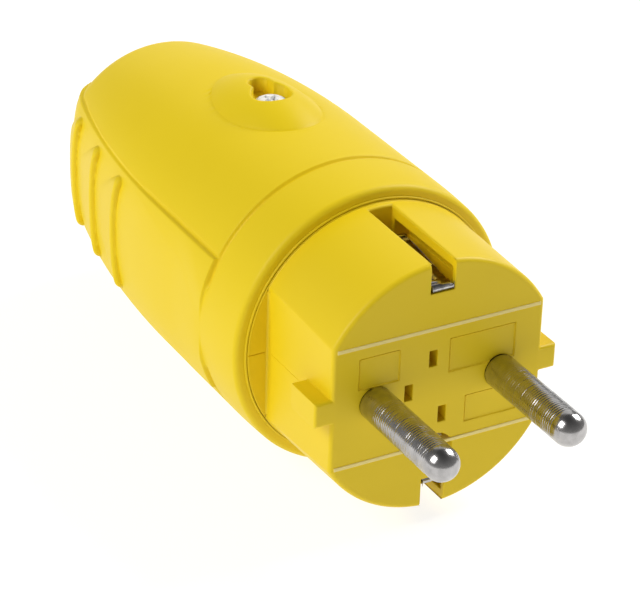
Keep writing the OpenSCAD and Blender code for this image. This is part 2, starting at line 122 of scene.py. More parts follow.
class HoodSettings(bpy.types.PropertyGroup):
    """Sizes of the rubber hood"""

    radius: length("Radius", "Radius of the hood's round body", HOOD_HIGH.x)
    lip_y: length("Lip", "Distance from the face to the lip round the insert", HOOD_LOW.y)
    lip_proud: length("Lip height", "How far the lip stands out of the collar's front", 0.25)
    lip_w: length("Lip width", "Width of the lip", 0.25)
    end_y: length("Length", "Distance from the face to the hood's rear end", HOOD_HIGH.y)
    collar_edge: length("Collar edge", "Rounding of the collar's front edge", 0.9)
    collar_drop: length("Collar drop", "How much the collar draws in towards its front edge", 0.25)
    draw_y: length("Collar draw", "Distance from the face to where the collar begins to draw in", 25.5)
    bore_r: length("Bore", "Radius of the insert's seat", INSERT_HIGH.x + 0.1)
    seat_end: length("Seat end", "Distance from the face to the end of the insert's seat", 26.1)
    taper_y: length("Taper", "Distance from the face to where the round body begins to taper", 47)
    rear_r: length("Rear radius", "Radius of the round body at the rear end", 14.6)
    rear_round: length("Rear rounding", "Rounding of the rear end seen from the side", 7)
    side_y: length("Side taper", "Distance from the face to where the sides begin to draw in", 25)
    rear_half: length("Rear half width", "Half width of the sides at the rear end", 13.6)
    side_round: length("Side rounding", "Rounding of the rear end seen from above", 8.8)
    pad_half: length("Pad half height", "Half the height of the side pads", 10)
    pad_proud: length("Pad height", "How far the pads stand out of the round body", 0.4)
    pad_rear_round: length("Pad rear rounding", "Rounding of the pads' rear ends seen from the side", 4)
    pad_soft: length("Pad softness", "Width of the blend between the round and the flat part of a pad", 2.4)
    crease_edge: length("Crease edge", "Rounding along the edge of a pad", 0.25)
    crease_r: length("Crease radius", "Radius of the fine groove along the edge of a pad", 0.18)
    groove_y: length("Groove", "Distance from the face to the groove behind the collar", 27.2)
    groove_r: length("Groove radius", "Radius of the groove's section", 0.45)
    groove_gap: length("Groove gap", "Height above the middle below which the groove has run out", 3.5)
    ridges: bpy.props.IntProperty(
        name="Ridges", description="Finger ridges on each side", default=3, min=0, max=3,
    )
    ridge_pitch: length("Ridge pitch", "Distance from one ridge to the next", 10.1)
    ridge_back: length("Ridge place", "Distance of the last ridge from the rear end", 10.3)
    ridge_h: length("Ridge height", "Height of a ridge at its middle", 0.85)
    ridge_end_h: length("Ridge end height", "Height of a ridge near its two ends", 1.15)
    ridge_bow: length("Ridge bow", "Radius of a ridge's bowed front edge", 22)
    ridge_half: length("Ridge half height", "Half the height of a ridge from end to end", 8.9)
    ridge_tip: length("Ridge tip", "Rounding of a ridge's two ends", 1.3)
    ridge_rise: length("Ridge rise", "Width of a ridge's rounded front", 0.9)
    ridge_fall: length("Ridge fall", "Length over which a ridge falls to the rear", 8.8)
    mound_y: length("Mound", "Distance from the face to the top of the mound round the screw", 48.3)
    mound_h: length("Mound height", "Height of the mound", 2.3)
    mound_half_len: length("Mound half length", "Half the length of the mound", 10.2)
    mound_half_w: length("Mound half width", "Half the width of the mound", 6.9)
    mound_line: length("Mound line", "Depth of the fine line round the foot of the mound", 0.07)
    screw_y: length(
        "Screw", "Distance from the face to the screw", (HOOD_SCREW_LOW.y + HOOD_SCREW_HIGH.y) / 2,
    )
    head_seat: length("Screw seat", "Height of the seat of the screw's head", 19.5)
    key_r: length("Keyhole radius", "Radius of the keyhole's round end", 2.85)
    key_slot_r: length("Key slot radius", "Radius of the keyhole's slot", 1.6)
    key_slot_len: length("Key slot length", "Length of the keyhole's slot behind the screw", 3.6)
    key_rise: length("Key rise", "How far the slot's floor rises from the screw to its rear end", 1.2)
    key_rim: length("Keyhole rim", "Rounding of the keyhole's rim", 0.4)
    wall: length("Wall", "Wall of the round body", 3)
    side_wall: length("Side wall", "Wall of the flat sides", 2.4)
    inlet_r: length("Inlet", "Radius of the hole for the flex", 5)
    inlet_len: length("Inlet length", "Length of the rubber that closes round the flex", 14)
    inlet_mouth: length("Inlet mouth", "Flare of the inlet's outer end", 1.2)
    inlet_throat: length("Inlet throat", "Flare of the inlet's inner end", 2.5)


class InsertSettings(bpy.types.PropertyGroup):
    """Sizes of the moulded insert"""

    face_r: length("Face radius", "Radius of the insert at its face", 18.4)
    rear_r: length("Rear radius", "Radius of the insert where the flange begins", 18.9)
    flange_r: length("Flange radius", "Radius of the flange that sits in the hood", INSERT_HIGH.x)
    nose_len: length("Nose length", "Length of the insert in front of its flange", 17.4)
    end_y: length("Length", "Distance from the face to the insert's rear", INSERT_HIGH.y)
    flat_x: length("Flat", "Distance from the middle to each flat side", 16)
    face_edge: length("Face edge", "Rounding of the edge of the face", 0.65)
    guide_x: length("Guide reach", "Reach of the guide ribs from the middle", 18.4)
    guide_half: length("Guide half height", "Half the height of a guide rib", 1.8)
    guide_len: length("Guide length", "Length of a guide rib", 6.5)
    slot_w: length("Slot width", "Width of the earth slots", 3.6)
    slot_floor: length("Slot floor", "Distance from the middle to the floor of an earth slot", 14)
    slot_len: length("Slot length", "Length of an earth slot", 16.4)
    slot_wall: length("Slot wall", "Wall in front of the cavity in an earth slot", 0.9)
    cavity_w: length("Cavity width", "How much wider than the slot the cavity is on each side", 2.4)
    cavity_z: length("Cavity height", "Distance from the middle to the top of that cavity", 16.9)
    line_z: length("Line place", "Distance of the raised lines from the middle", 8.76)
    line_w: length("Line width", "Width of a raised line", 0.5)
    line_proud: length("Line height", "How far a raised line stands out of the face", -INSERT_LOW.y)
    hole_r: length("Screw hole", "Radius of the hole for the face screw", 2.7)
    hole_depth: length("Screw hole depth", "Depth of that hole", 3.4)
    hole_drop: length("Screw hole place", "Distance of that hole below the middle", 10)
    field_depth: length("Field depth", "Depth of the bare shallow fields in the face", 0.15)
    soft_edge: length("Soft edge", "Rounding of the moulding's sharp edges", 0.16)
    slot_edge: length("Slot edge", "Rounding of the earth slots' upper edges", 0.35)
    foot: length("Foot", "Fillet where the flats meet the flange", 0.4)
    seam_z: length("Seam place", "Height of the mould's seam above the middle", 0.3)
    seam_w: length("Seam width", "Width of the mould's seam", 0.13)


class PinSettings(bpy.types.PropertyGroup):
    """Sizes of the turned pins"""

    radius: length("Radius", "Radius of a pin", 2.4)
    tip_y: length("Length", "Length of a pin in front of the face", -PIN_LOW.y)
    shank_r: length("Shank radius", "Radius of a pin inside the insert", 2.2)
    collar_r: length("Collar radius", "Radius of the collar that holds a pin", (PIN_HIGH.x - PIN_LOW.x) / 2)
    collar_t: length("Collar thickness", "Thickness of that collar", 3)
    stud_r: length("Stud radius", "Radius of the stud behind the collar", 1.8)
    end_y: length("Stud end", "Distance from the face to the end of the stud", PIN_HIGH.y)
    ring_pitch: length("Ring pitch", "Distance between the fine turned rings", 0.42)
    ring_depth: length("Ring depth", "Depth of a turned ring", 0.04)
    root_len: length("Root length", "Length of the duller root next to the face", 4)


class EarthSettings(bpy.types.PropertyGroup):
    """Sizes of the earth contact"""

    strip_w: length("Strip width", "Width of a spring contact", 3.2)
    strip_t: length("Strip thickness", "Thickness of the strip", 0.7)
    crown_z: length("Crown", "Distance from the middle to the top of a spring contact", BOW_HIGH.z)
    leg_z: length("Leg", "Distance from the middle to the strip where it lies in the slot", 14.35)
    tip_y: length("Tip", "Distance from the face to the tip of a spring contact", BOW_LOW.y)
    tip_len: length("Tip length", "Length of the bent tip", 1)
    tip_rise: length("Tip rise", "Rise over the bent tip", 0.25)
    crown_back: length("Crown place", "Distance from the slot's rear end to the crown", 4)
    bow_w: length("Plate width", "Width of the plate that joins the two contacts", BOW_HIGH.x - BOW_LOW.x)
    bend_r: length("Bend", "Rounding of the strip's bends", 0.8)
    roll_r: length("Roll", "Radius of the strip's rolled tip", 0.5)


class StageSettings(bpy.types.PropertyGroup):
    """Camera, lights and floor"""

    azimuth: degrees("Azimuth", "Turn of the camera round the plug", -29.774)
    elevation: degrees("Elevation", "Height of the camera above the horizon", 28.636)
    roll: degrees("Roll", "Tilt of the camera about its own axis", 1.798)
    distance: length("Distance", "Distance from the camera to the face", 369.13)
    shift_right: length("Shift right", "How far the face lies right of the picture's middle", 15.453, -1000)
    shift_up: length("Shift up", "How far the face lies above the picture's middle", -11.129, -1000)
    lens: bpy.props.FloatProperty(
        name="Lens", description="Focal length of the camera", default=158.55, unit="CAMERA",
    )
    floor_size: length("Floor size", "Width of the floor", 6000)
    left_power: power("Left power", "Power of the left soft box", 3.6)
    right_power: power("Right power", "Power of the right soft box", 4.85)
    back_power: power("Back power", "Power of the soft box behind", 1.2)
    fill: strength("Fill", "Strength of the soft light from all round", 0.33)
    fill_above: strength("Fill above", "Strength of the soft light from straight above", 0.07)
    floor_glow: strength("Floor glow", "Light given off by the floor", 0.82)


class FinishSettings(bpy.types.PropertyGroup):
    """Colours of the plug's materials"""

    rubber: colour("Rubber", "Colour of the hood", 0.83, 0.61, 0.007)
    rubber_deep: colour("Deep rubber", "Deeper colour in the hood's mottling", 0.80, 0.582, 0.005)
    plastic: colour("Plastic", "Colour of the insert", 0.84, 0.607, 0.006)
    plastic_deep: colour("Deep plastic", "Deeper colour in the insert's mottling", 0.81, 0.58, 0.005)
    # The line colour is pale to paint the highlight along the raised lines.
    line: colour("Line", "Colour of the pale lines across the face", 0.95, 0.78, 0.27)
    nickel: colour("Nickel", "Colour of the pins and the earth contact", 0.5, 0.485, 0.475)
    zinc: colour("Zinc", "Colour of the screws", 0.46, 0.47, 0.48)
    brass: colour("Brass", "Colour of the terminals", 0.68, 0.46, 0.16)
    base: colour("Base", "Colour of the inner mouldings", 0.62, 0.60, 0.53)
    floor: colour("Floor", "Colour of the floor", 0.3, 0.3, 0.3)


GROUPS = {
    "plug_hood": HoodSettings,
    "plug_insert": InsertSettings,
    "plug_pins": PinSettings,
    "plug_earth": EarthSettings,
    "plug_stage": StageSettings,
    "plug_finish": FinishSettings,
}


def sizes(settings):
    """The settings of a group, with lengths in millimetres."""
    values = {}
    for key, rna in settings.bl_rna.properties.items():
        if key in ("rna_type", "name"):
            continue
        value = getattr(settings, key)
        values[key] = round(value / MM, 4) if getattr(rna, "unit", "") == "LENGTH" else value
    return SimpleNamespace(**values)


# Work at the bench: choosing, drawing, joining and setting down pieces

def choose(*pieces):
    """Leaves edit mode and selects only these pieces, the first one active."""
    if bpy.context.mode != "OBJECT":
        bpy.ops.object.mode_set(mode="OBJECT")
    bpy.ops.object.select_all(action="DESELECT")
    for piece in pieces:
        piece.select_set(True)
    if pieces:
        bpy.context.view_layer.objects.active = pieces[0]


def begin(name, primitive, **values):
    """Adds a primitive with nothing else selected, and puts its place into its mesh."""
    choose()
    primitive(**values)
    piece = bpy.context.active_object
    piece.name = name
    piece.data.name = name
    bpy.ops.object.transform_apply(location=True, rotation=True, scale=True)
    return piece


def open_mesh(piece):
    """Goes into edit mode on one piece with all of its mesh selected."""
    choose(piece)
    bpy.ops.object.mode_set(mode="EDIT")
    bpy.ops.mesh.select_mode(type="VERT")
    bpy.ops.mesh.select_all(action="SELECT")


def close_mesh():
    """Goes back to object mode."""
    bpy.ops.object.mode_set(mode="OBJECT")


def pick(piece, kind, test):
    """In edit mode, selects the verts, edges or faces that pass a test."""
    bpy.ops.mesh.select_mode(type={"verts": "VERT", "edges": "EDGE", "faces": "FACE"}[kind])
    bpy.ops.mesh.select_all(action="DESELECT")
    mesh = bmesh.from_edit_mesh(piece.data)
    mesh.normal_update()
    for part in getattr(mesh, kind):
        if test(part):
            part.select_set(True)
    mesh.select_flush_mode()
    bmesh.update_edit_mesh(piece.data)


def drawn_line(name, points):
    """A chain of edges through the points, drawn by extruding one vertex. Stays in edit mode."""
    piece = begin(name, bpy.ops.mesh.primitive_plane_add, size=1)
    open_mesh(piece)
    bpy.ops.mesh.merge(type="CENTER")
    bpy.ops.transform.translate(value=points[0])
    for here, there in zip(points, points[1:]):
        step = Vector(there) - Vector(here)
        bpy.ops.mesh.extrude_vertices_move(TRANSFORM_OT_translate={"value": step})
    return piece


def turned(name, profile, steps, axis):
    """A body of revolution: the profile of (radius, height) points is drawn and spun about an axis."""
    along = Vector(axis)
    points = [Vector((radius, 0, 0)) + along * height for radius, height in profile]
    piece = drawn_line(name, points)
    bpy.ops.mesh.select_all(action="SELECT")
    bpy.ops.mesh.spin(steps=steps, angle=2 * math.pi, center=(0, 0, 0), axis=along)
    bpy.ops.mesh.select_all(action="SELECT")
    bpy.ops.mesh.remove_doubles(threshold=1e-4)
    bpy.ops.mesh.normals_make_consistent(inside=False)
    close_mesh()
    return piece


def true_up(piece):
    """Rounds the places of a tool's vertices, so that planes meant to agree do."""
    places = np.empty(len(piece.data.vertices) * 3)
    piece.data.vertices.foreach_get("co", places)
    piece.data.vertices.foreach_set("co", np.round(places, 4))
    piece.data.update()


def block(name, low, high):
    """A box between two corners."""
    low, high = Vector(low), Vector(high)
    piece = begin(name, bpy.ops.mesh.primitive_cube_add, size=1, location=(low + high) / 2)
    open_mesh(piece)
    bpy.ops.transform.resize(value=high - low, center_override=(low + high) / 2)
    close_mesh()
    true_up(piece)
    return piece


def rod(name, radius, start, end, sides=64):
    """A cylinder between two points."""
    start, end = Vector(start), Vector(end)
    turn = (end - start).to_track_quat("Z", "Y").to_euler()
    piece = begin(
        name, bpy.ops.mesh.primitive_cylinder_add, vertices=sides, radius=radius,
        depth=(end - start).length, location=(start + end) / 2, rotation=turn,
    )
    true_up(piece)
    return piece


def solid_volume(piece):
    """Volume of a closed piece."""
    mesh = bmesh.new()
    mesh.from_mesh(piece.data)
    volume = mesh.calc_volume()
    mesh.free()
    return volume


VOLUME_SLACK = 0.01


def combine(piece, tool, operation="DIFFERENCE", crossing=False):
    """Cuts a tool out of a piece, or joins it on, and removes it. A crossing tool runs through itself."""
    if piece.data.materials and not tool.data.materials:
        tool.data.materials.append(piece.data.materials[0])
    volume = solid_volume(piece)
    most = (1 + VOLUME_SLACK) * solid_volume(tool) + VOLUME_SLACK * volume
    choose(piece)
    joint = piece.modifiers.new("joint", "BOOLEAN")
    joint.operation = operation
    joint.solver = "EXACT"
    joint.use_self = crossing
    joint.material_mode = "TRANSFER"
    joint.object = tool
    bpy.ops.object.modifier_apply(modifier=joint.name)
    if not piece.data.polygons or abs(solid_volume(piece) - volume) > most:
        raise RuntimeError(f"{tool.name} can't be joined with {piece.name}")
    bpy.data.objects.remove(tool)


def gather(pieces):
    """Makes one mesh of several, without cutting them."""
    choose(*pieces)
    bpy.ops.object.join()
    return pieces[0]


def face_outwards(piece):
    """Turns the faces of a closed piece outwards."""
    open_mesh(piece)
    bpy.ops.mesh.normals_make_consistent(inside=False)
    close_mesh()


def soften(piece, width, segments=2, angle=30):
    """Rounds the sharp edges of a piece."""
    choose(piece)
    bevel = piece.modifiers.new("soft_edges", "BEVEL")
    bevel.width = width
    bevel.segments = segments
    bevel.limit_method = "ANGLE"
    bevel.angle_limit = math.radians(angle)
    bevel.use_clamp_overlap = False
    bpy.ops.object.modifier_apply(modifier=bevel.name)


def even_shading(piece):
    """Lets large faces keep their own direction, so that only the rounded edges shade round."""
    choose(piece)
    shading = piece.modifiers.new("shading", "WEIGHTED_NORMAL")
    shading.keep_sharp = True
    bpy.ops.object.modifier_apply(modifier=shading.name)


def set_down(piece, replaces=(), smooth_angle=40):
    """Brings a finished piece to metres and hands it to the frame."""
    choose(piece)
    piece.scale = (MM, MM, MM)
    bpy.ops.object.transform_apply(location=True, rotation=True, scale=True)
    bpy.ops.object.shade_smooth_by_angle(angle=math.radians(smooth_angle))
    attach(piece, BODY)
    if replaces:
        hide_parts(*replaces)
    choose()


# Fields: distances that are negative inside a form, used to press the hood's blank to shape

def round_both(a, b, radius):
    """Field of what lies in both forms, with the edge between them rounded."""
    corner = np.hypot(np.maximum(a + radius, 0), np.maximum(b + radius, 0))
    return np.minimum(np.maximum(a, b), -radius) + corner


def fillet_either(a, b, radius):
    """Field of what lies in either form, with a fillet between them."""
    corner = np.hypot(np.maximum(radius - a, 0), np.maximum(radius - b, 0))
    return np.maximum(np.minimum(a, b), radius) - corner


def blend_both(a, b, width):
    """Field of what lies in both forms, with a soft blend between them."""
    near = np.maximum(width - np.abs(a - b), 0) / width
    return np.maximum(a, b) + near * near * width / 4


def ease(low, high, value):
    """Smooth step from 0 at low to 1 at high."""
    t = np.clip((value - low) / (high - low), 0, 1)
    return t * t * (3 - 2 * t)


def bow_radius(run, drop):
    """Radius of an arc that starts level and falls by drop over a run."""
    return (run * run + drop * drop) / (2 * drop)


def bowed(r, y, half, start, end, end_half, rounding):
    """Field of an outline that runs straight to start, then bows in to end_half at its rounded end."""
    rho = bow_radius(end - start, half - end_half)
    side = np.where(y < start, r - half, np.hypot(r - half + rho, y - start) - rho)
    return round_both(side, y - end, rounding)


def bowed_half(y, half, start, end, end_half):
    """Half width of that outline at y, before its end is rounded."""
    rho = bow_radius(end - start, half - end_half)
    return half - rho + math.sqrt(rho * rho - max(y - start, 0) ** 2)


def collar_bow(hood):
    """Radius of the arc along which the collar draws in towards its front."""
    return bow_radius(hood.draw_y - hood.lip_y - hood.lip_proud, hood.collar_drop)


def collar_half(hood, y):
    """Radius of the collar at y, in front of where it begins to draw in."""
    rho = collar_bow(hood)
    return hood.radius - rho + math.sqrt(rho * rho - (hood.draw_y - y) ** 2)


def ridge_fronts(hood):
    """Distances from the face to the middles of the ridges' front edges."""
    return [hood.end_y - hood.ridge_back - i * hood.ridge_pitch for i in range(hood.ridges)]


def ridge_lead(hood, z):
    """How far the bow brings a ridge's front edge forward at a height z."""
    return hood.ridge_bow - np.sqrt(hood.ridge_bow ** 2 - np.minimum(np.abs(z), hood.pad_half) ** 2)


RIDGE_TILT = math.radians(40)


def ridge_outline(hood, behind, height):
    """Distance from a ridge's outline: its front, a round end and an edge that slants down behind that."""
    back, up = behind - hood.ridge_tip, height - hood.ridge_half + hood.ridge_tip
    slant = back * math.sin(RIDGE_TILT) + up * math.cos(RIDGE_TILT) - hood.ridge_tip
    at_end = (up > 0) & (back * math.cos(RIDGE_TILT) < up * math.sin(RIDGE_TILT))
    return np.where(at_end, np.hypot(back, up) - hood.ridge_tip, np.maximum(-behind, slant))


def ridge_height(hood, y, z):
    """Height of the finger ridges over the flat side."""
    total = np.zeros_like(y)
    height = np.abs(z)
    to_end = ease(hood.ridge_half / 3, hood.ridge_half, height)
    crest = hood.ridge_h + (hood.ridge_end_h - hood.ridge_h) * to_end
    fall_len = hood.ridge_fall * (1 - 0.5 * to_end)
    for front in ridge_fronts(hood):
        behind = y - front + ridge_lead(hood, z)
        inside = -ridge_outline(hood, behind, height)
        front_round = np.sqrt(1 - (1 - np.clip(inside / hood.ridge_rise, 0, 1)) ** 2)
        fall = np.clip(1 - behind / fall_len, 0, 1)
        total = np.maximum(total, crest * front_round * fall)
    return total


def mound_rise(hood, x, y):
    """Height of the mound's surface above the plug's middle."""
    across = hood.mound_h / hood.mound_half_w ** 2 + 1 / (2 * hood.radius)
    along = hood.mound_h / hood.mound_half_len ** 2
    return hood.radius + hood.mound_h - across * x * x - along * (y - hood.mound_y) ** 2


def keyhole_distance(hood, x, y):
    """Distance from the outline of the keyhole, seen from above."""
    back = y - hood.screw_y
    round_end = np.hypot(x, back) - hood.key_r
    along = np.clip(back, 0, hood.key_slot_len)
    slot = np.hypot(x, back - along) - hood.key_slot_r
    return np.minimum(round_end, slot)


def hood_field(hood, x, y, z):
    """Field of the hood's outer form."""
    r = np.hypot(x, z)
    barrel = bowed(r, y, hood.radius, hood.taper_y, hood.end_y, hood.rear_r, hood.rear_round)
    rho = collar_bow(hood)
    collar = np.hypot(r - hood.radius + rho, hood.draw_y - y) - rho
    barrel = np.where(y < hood.draw_y, collar, barrel)
    sides = bowed(np.abs(x), y, hood.radius, hood.side_y, hood.end_y, hood.rear_half, hood.side_round)
    above = np.abs(z) - hood.pad_half
    pad_top = bowed(
        r, y, hood.radius + hood.pad_proud, hood.taper_y,
        hood.end_y, hood.rear_r + hood.pad_proud, hood.pad_rear_round,
    )
    flat = blend_both(pad_top, sides, 0.05 + hood.pad_soft * ease(hood.draw_y, 1.5 * hood.draw_y, y))
    body = np.maximum(barrel, np.minimum(flat, -above))
    pad_front = hood.groove_y + hood.groove_r - y
    pad = round_both(flat - ridge_height(hood, y, z), np.maximum(above, pad_front), hood.crease_edge)
    body = np.maximum(fillet_either(body, pad, hood.crease_edge / 2), np.abs(x) - hood.radius)
    crease = np.hypot(barrel, above - hood.crease_r / 2)
    crease = np.hypot(crease, np.maximum(pad_front, 0))
    body = np.maximum(body, hood.crease_r - crease)
    mound = np.maximum(z - mound_rise(hood, x, y), hood.radius - 2 * hood.wall - z)
    body = np.maximum(np.minimum(body, mound), hood.mound_line - np.hypot(body, mound))
    shown = ease(hood.groove_gap, 2 * hood.groove_gap, np.abs(z))
    groove = hood.groove_r * shown - np.hypot(r - hood.radius, y - hood.groove_y) + shown - 1
    body = round_both(body, groove, hood.crease_edge / 2)
    rim = np.clip(1 - keyhole_distance(hood, x, y) / hood.key_rim, 0, 1) * (z > 0)
    return body + hood.key_rim * (1 - np.sqrt(1 - np.minimum(rim, 0.98) ** 2))


ROW_STEP = 0.45
FINE_STEP = 0.1
COLUMNS = 300
SIDE_COLUMNS_ANGLE = math.radians(38.4)
FAN_ROWS = 30
GROOVE_ZONE = 1.2
LIP_ROUND = 0.08
SKIN_SLACK = 0.01
RAY_REACH = 1.4
HALVINGS = 40


def hood_fan_y(hood):
    """Where the blank's straight rays end and those that fan out to the rear begin."""
    return hood.end_y - hood.side_round


def collar_end(hood):
    """Distance from the face to where the rounding of the collar's front edge ends."""
    return hood.lip_y + hood.lip_proud + hood.collar_edge


def hood_rows(hood, low, high):
    """Places of the blank's rows, close together at the groove and at the ridges' fronts."""
    rows = [low]
    while rows[-1] < high:
        y = rows[-1]
        at_ridge = any(-0.3 < y - front < 0.9 for front in ridge_fronts(hood))
        fine = at_ridge or abs(y - hood.groove_y) < GROOVE_ZONE
        rows.append(y + (FINE_STEP if fine else ROW_STEP))
    rows[-1] = high
    return rows[1:]


def hood_blank_profile(hood):
    """Profile of the blank: a round-ended tube with the collar's front, the inlet and the hollow."""
    collar_y = hood.lip_y + hood.lip_proud
    edge_y = collar_end(hood)
    lip_r = hood.bore_r + hood.lip_w
    profile = [
        (hood.bore_r, hood.lip_y), (lip_r - LIP_ROUND, hood.lip_y),
        (lip_r, hood.lip_y + LIP_ROUND), (lip_r, collar_y),
    ]
    for i in range(1, 11):
        turn = math.radians(9 * i)
        profile.append((
            collar_half(hood, edge_y) - hood.collar_edge * (1 - math.sin(turn)),
            edge_y - hood.collar_edge * math.cos(turn),
        ))
    fan_y = hood_fan_y(hood)
    profile += [(hood.radius, y) for y in hood_rows(hood, edge_y, fan_y)]
    mouth_r = hood.inlet_r + hood.inlet_mouth
    last = math.atan2(hood.end_y - fan_y, mouth_r + 0.4)
    for i in range(1, FAN_ROWS + 1):
        turn = last * i / FAN_ROWS
        profile.append((hood.radius * math.cos(turn), fan_y + hood.radius * math.sin(turn)))
    for i in range(0, 4):
        turn = math.radians(30 * i)
        profile.append((
            mouth_r - hood.inlet_mouth * math.sin(turn),
            hood.end_y - hood.inlet_mouth * (1 - math.cos(turn)),
        ))
    cavity_y = hood.end_y - hood.inlet_len
    profile += [
        (hood.inlet_r, cavity_y + hood.inlet_throat),
        (hood.inlet_r + hood.inlet_throat, cavity_y),
    ]
    hollow = [(y, hollow_half(hood, y)) for y in np.linspace(cavity_y, hood.seat_end, 12)]
    profile += [(half - (2 if y == cavity_y else 0), y) for y, half in hollow]
    profile += [(hood.bore_r, hood.seat_end), (hood.bore_r, hood.lip_y)]
    return profile


def hollow_half(hood, y):
    """Radius of the hollow inside the hood at y."""
    barrel = bowed_half(y, hood.radius, hood.taper_y, hood.end_y, hood.rear_r) - hood.wall
    side = bowed_half(y, hood.radius, hood.side_y, hood.end_y, hood.rear_half) - hood.side_wall
    return min(barrel, side)


def spread(t):
    """Draws columns together towards 1, for t from 0 to 1."""
    return 0.25 * t + 0.75 * t * (1.5 - 0.5 * t * t)


def slide_columns(hood, turn, y):
    """Turns each column of the blank so that one of them runs along each crease."""
    quarter = math.pi / 2
    folded = np.abs((turn + quarter) % math.pi - quarter)
    crease = np.array([
        math.asin(hood.pad_half / bowed_half(v, hood.radius, hood.taper_y, hood.end_y, hood.rear_r))
        for v in y
    ])
    side = np.arcsin(np.sin(crease) * spread(np.clip(folded / SIDE_COLUMNS_ANGLE, 0, 1)))
    t = np.clip((quarter - folded) / (quarter - SIDE_COLUMNS_ANGLE), 0, 1)
    top = quarter - (quarter - crease) * spread(t)
    slid = np.where(folded < SIDE_COLUMNS_ANGLE, side, top)
    rising = np.sign(np.sin(turn)) + (np.sin(turn) == 0)
    return np.where(np.cos(turn) >= 0, slid, math.pi - slid) * rising


def slide_rows(hood, turn, y):
    """How far each row of the blank bows forward, so that rows run along the ridges' fronts."""
    full = ease(hood.screw_y, hood.screw_y + hood.ridge_pitch, y)
    fading = np.clip(1 - (y - hood_fan_y(hood)) / hood.radius, 0, 1)
    return full * fading * ridge_lead(hood, hood.radius * np.sin(turn))


def spots_of(piece):
    """Places of a piece's vertices."""
    spots = np.empty(len(piece.data.vertices) * 3)
    piece.data.vertices.foreach_get("co", spots)
    return spots.reshape(-1, 3)


def blank_skin(hood, spots):
    """Which vertices of the blank lie on its outer skin."""
    reach = np.hypot(np.hypot(spots[:, 0], spots[:, 2]), np.maximum(spots[:, 1] - hood_fan_y(hood), 0))
    return (reach > hood.radius - SKIN_SLACK) & (spots[:, 1] > collar_end(hood) + SKIN_SLACK)


def near_keyhole(hood, spots):
    """Which vertices lie on the skin round the keyhole."""
    around = keyhole_distance(hood, spots[:, 0], spots[:, 1]) < 4 * hood.key_rim
    return around & (spots[:, 2] > hood.head_seat)


def near_mound_foot(hood, spots):
    """Which vertices lie on the skin along the foot of the mound."""
    x, y, z = spots.T
    round_top = np.sqrt(np.maximum(hood.radius ** 2 - x * x, 0))
    close = np.abs(mound_rise(hood, x, y) - round_top) < 0.45
    return close & (z > hood.radius - hood.wall) & (np.abs(x) < 1.5 * hood.mound_half_w)


def near_ridge_tips(hood, spots):
    """Which vertices lie on the skin at the two ends of each ridge."""
    x, y, z = spots.T
    close = np.zeros(len(y), dtype=bool)
    for front in ridge_fronts(hood):
        behind = y - front + ridge_lead(hood, z)
        close |= (behind > -0.6) & (behind < 3 * hood.ridge_tip)
    height = np.abs(z)
    close &= (height > hood.ridge_half - 1.6 * hood.ridge_tip) & (height < hood.pad_half - hood.crease_r)
    return close & (np.abs(hood_field(hood, x, y, z)) < hood.ridge_end_h)


def press_hood(hood, piece, skin, slide=False):
    """Presses the chosen vertices to the hood's form, each along its own ray."""
    spots = spots_of(piece)
    if slide:
        front = spots[:, 1] < collar_end(hood) + SKIN_SLACK
        x, y, z = spots[front].T
        turn = slide_columns(hood, np.arctan2(z, x), y)
        spots[front] = np.stack([np.hypot(x, z) * np.cos(turn), y, np.hypot(x, z) * np.sin(turn)]).T
    x, y, z = spots[skin].T
    start = np.minimum(y, hood_fan_y(hood))
    turn = np.arctan2(z, x)
    out = np.hypot(x, z)
    rise = y - start
    if slide:
        turn = slide_columns(hood, turn, start)
        start = start - slide_rows(hood, turn, y)
    ray = np.stack([out * np.cos(turn), rise, out * np.sin(turn)])
    ray /= np.linalg.norm(ray, axis=0)
    near = np.zeros_like(y)
    far = np.full_like(y, RAY_REACH * hood.radius)
    for _ in range(HALVINGS):
        middle = (near + far) / 2
        inside = hood_field(hood, ray[0] * middle, start + ray[1] * middle, ray[2] * middle) < 0
        near = np.where(inside, middle, near)
        far = np.where(inside, far, middle)
    spots[skin] = np.stack([ray[0] * near, start + ray[1] * near, ray[2] * near]).T
    piece.data.vertices.foreach_set("co", spots.ravel())
    piece.data.update()


def refine(hood, piece, near, cuts):
    """Divides a part of the skin finely and presses it again."""
    around = set(np.flatnonzero(near(hood, spots_of(piece))))
    open_mesh(piece)
    pick(piece, "faces", lambda f: all(v.index in around for v in f.verts))
    bpy.ops.mesh.subdivide(number_cuts=cuts)
    close_mesh()
    press_hood(hood, piece, near(hood, spots_of(piece)))


KEY_LAP = 0.1


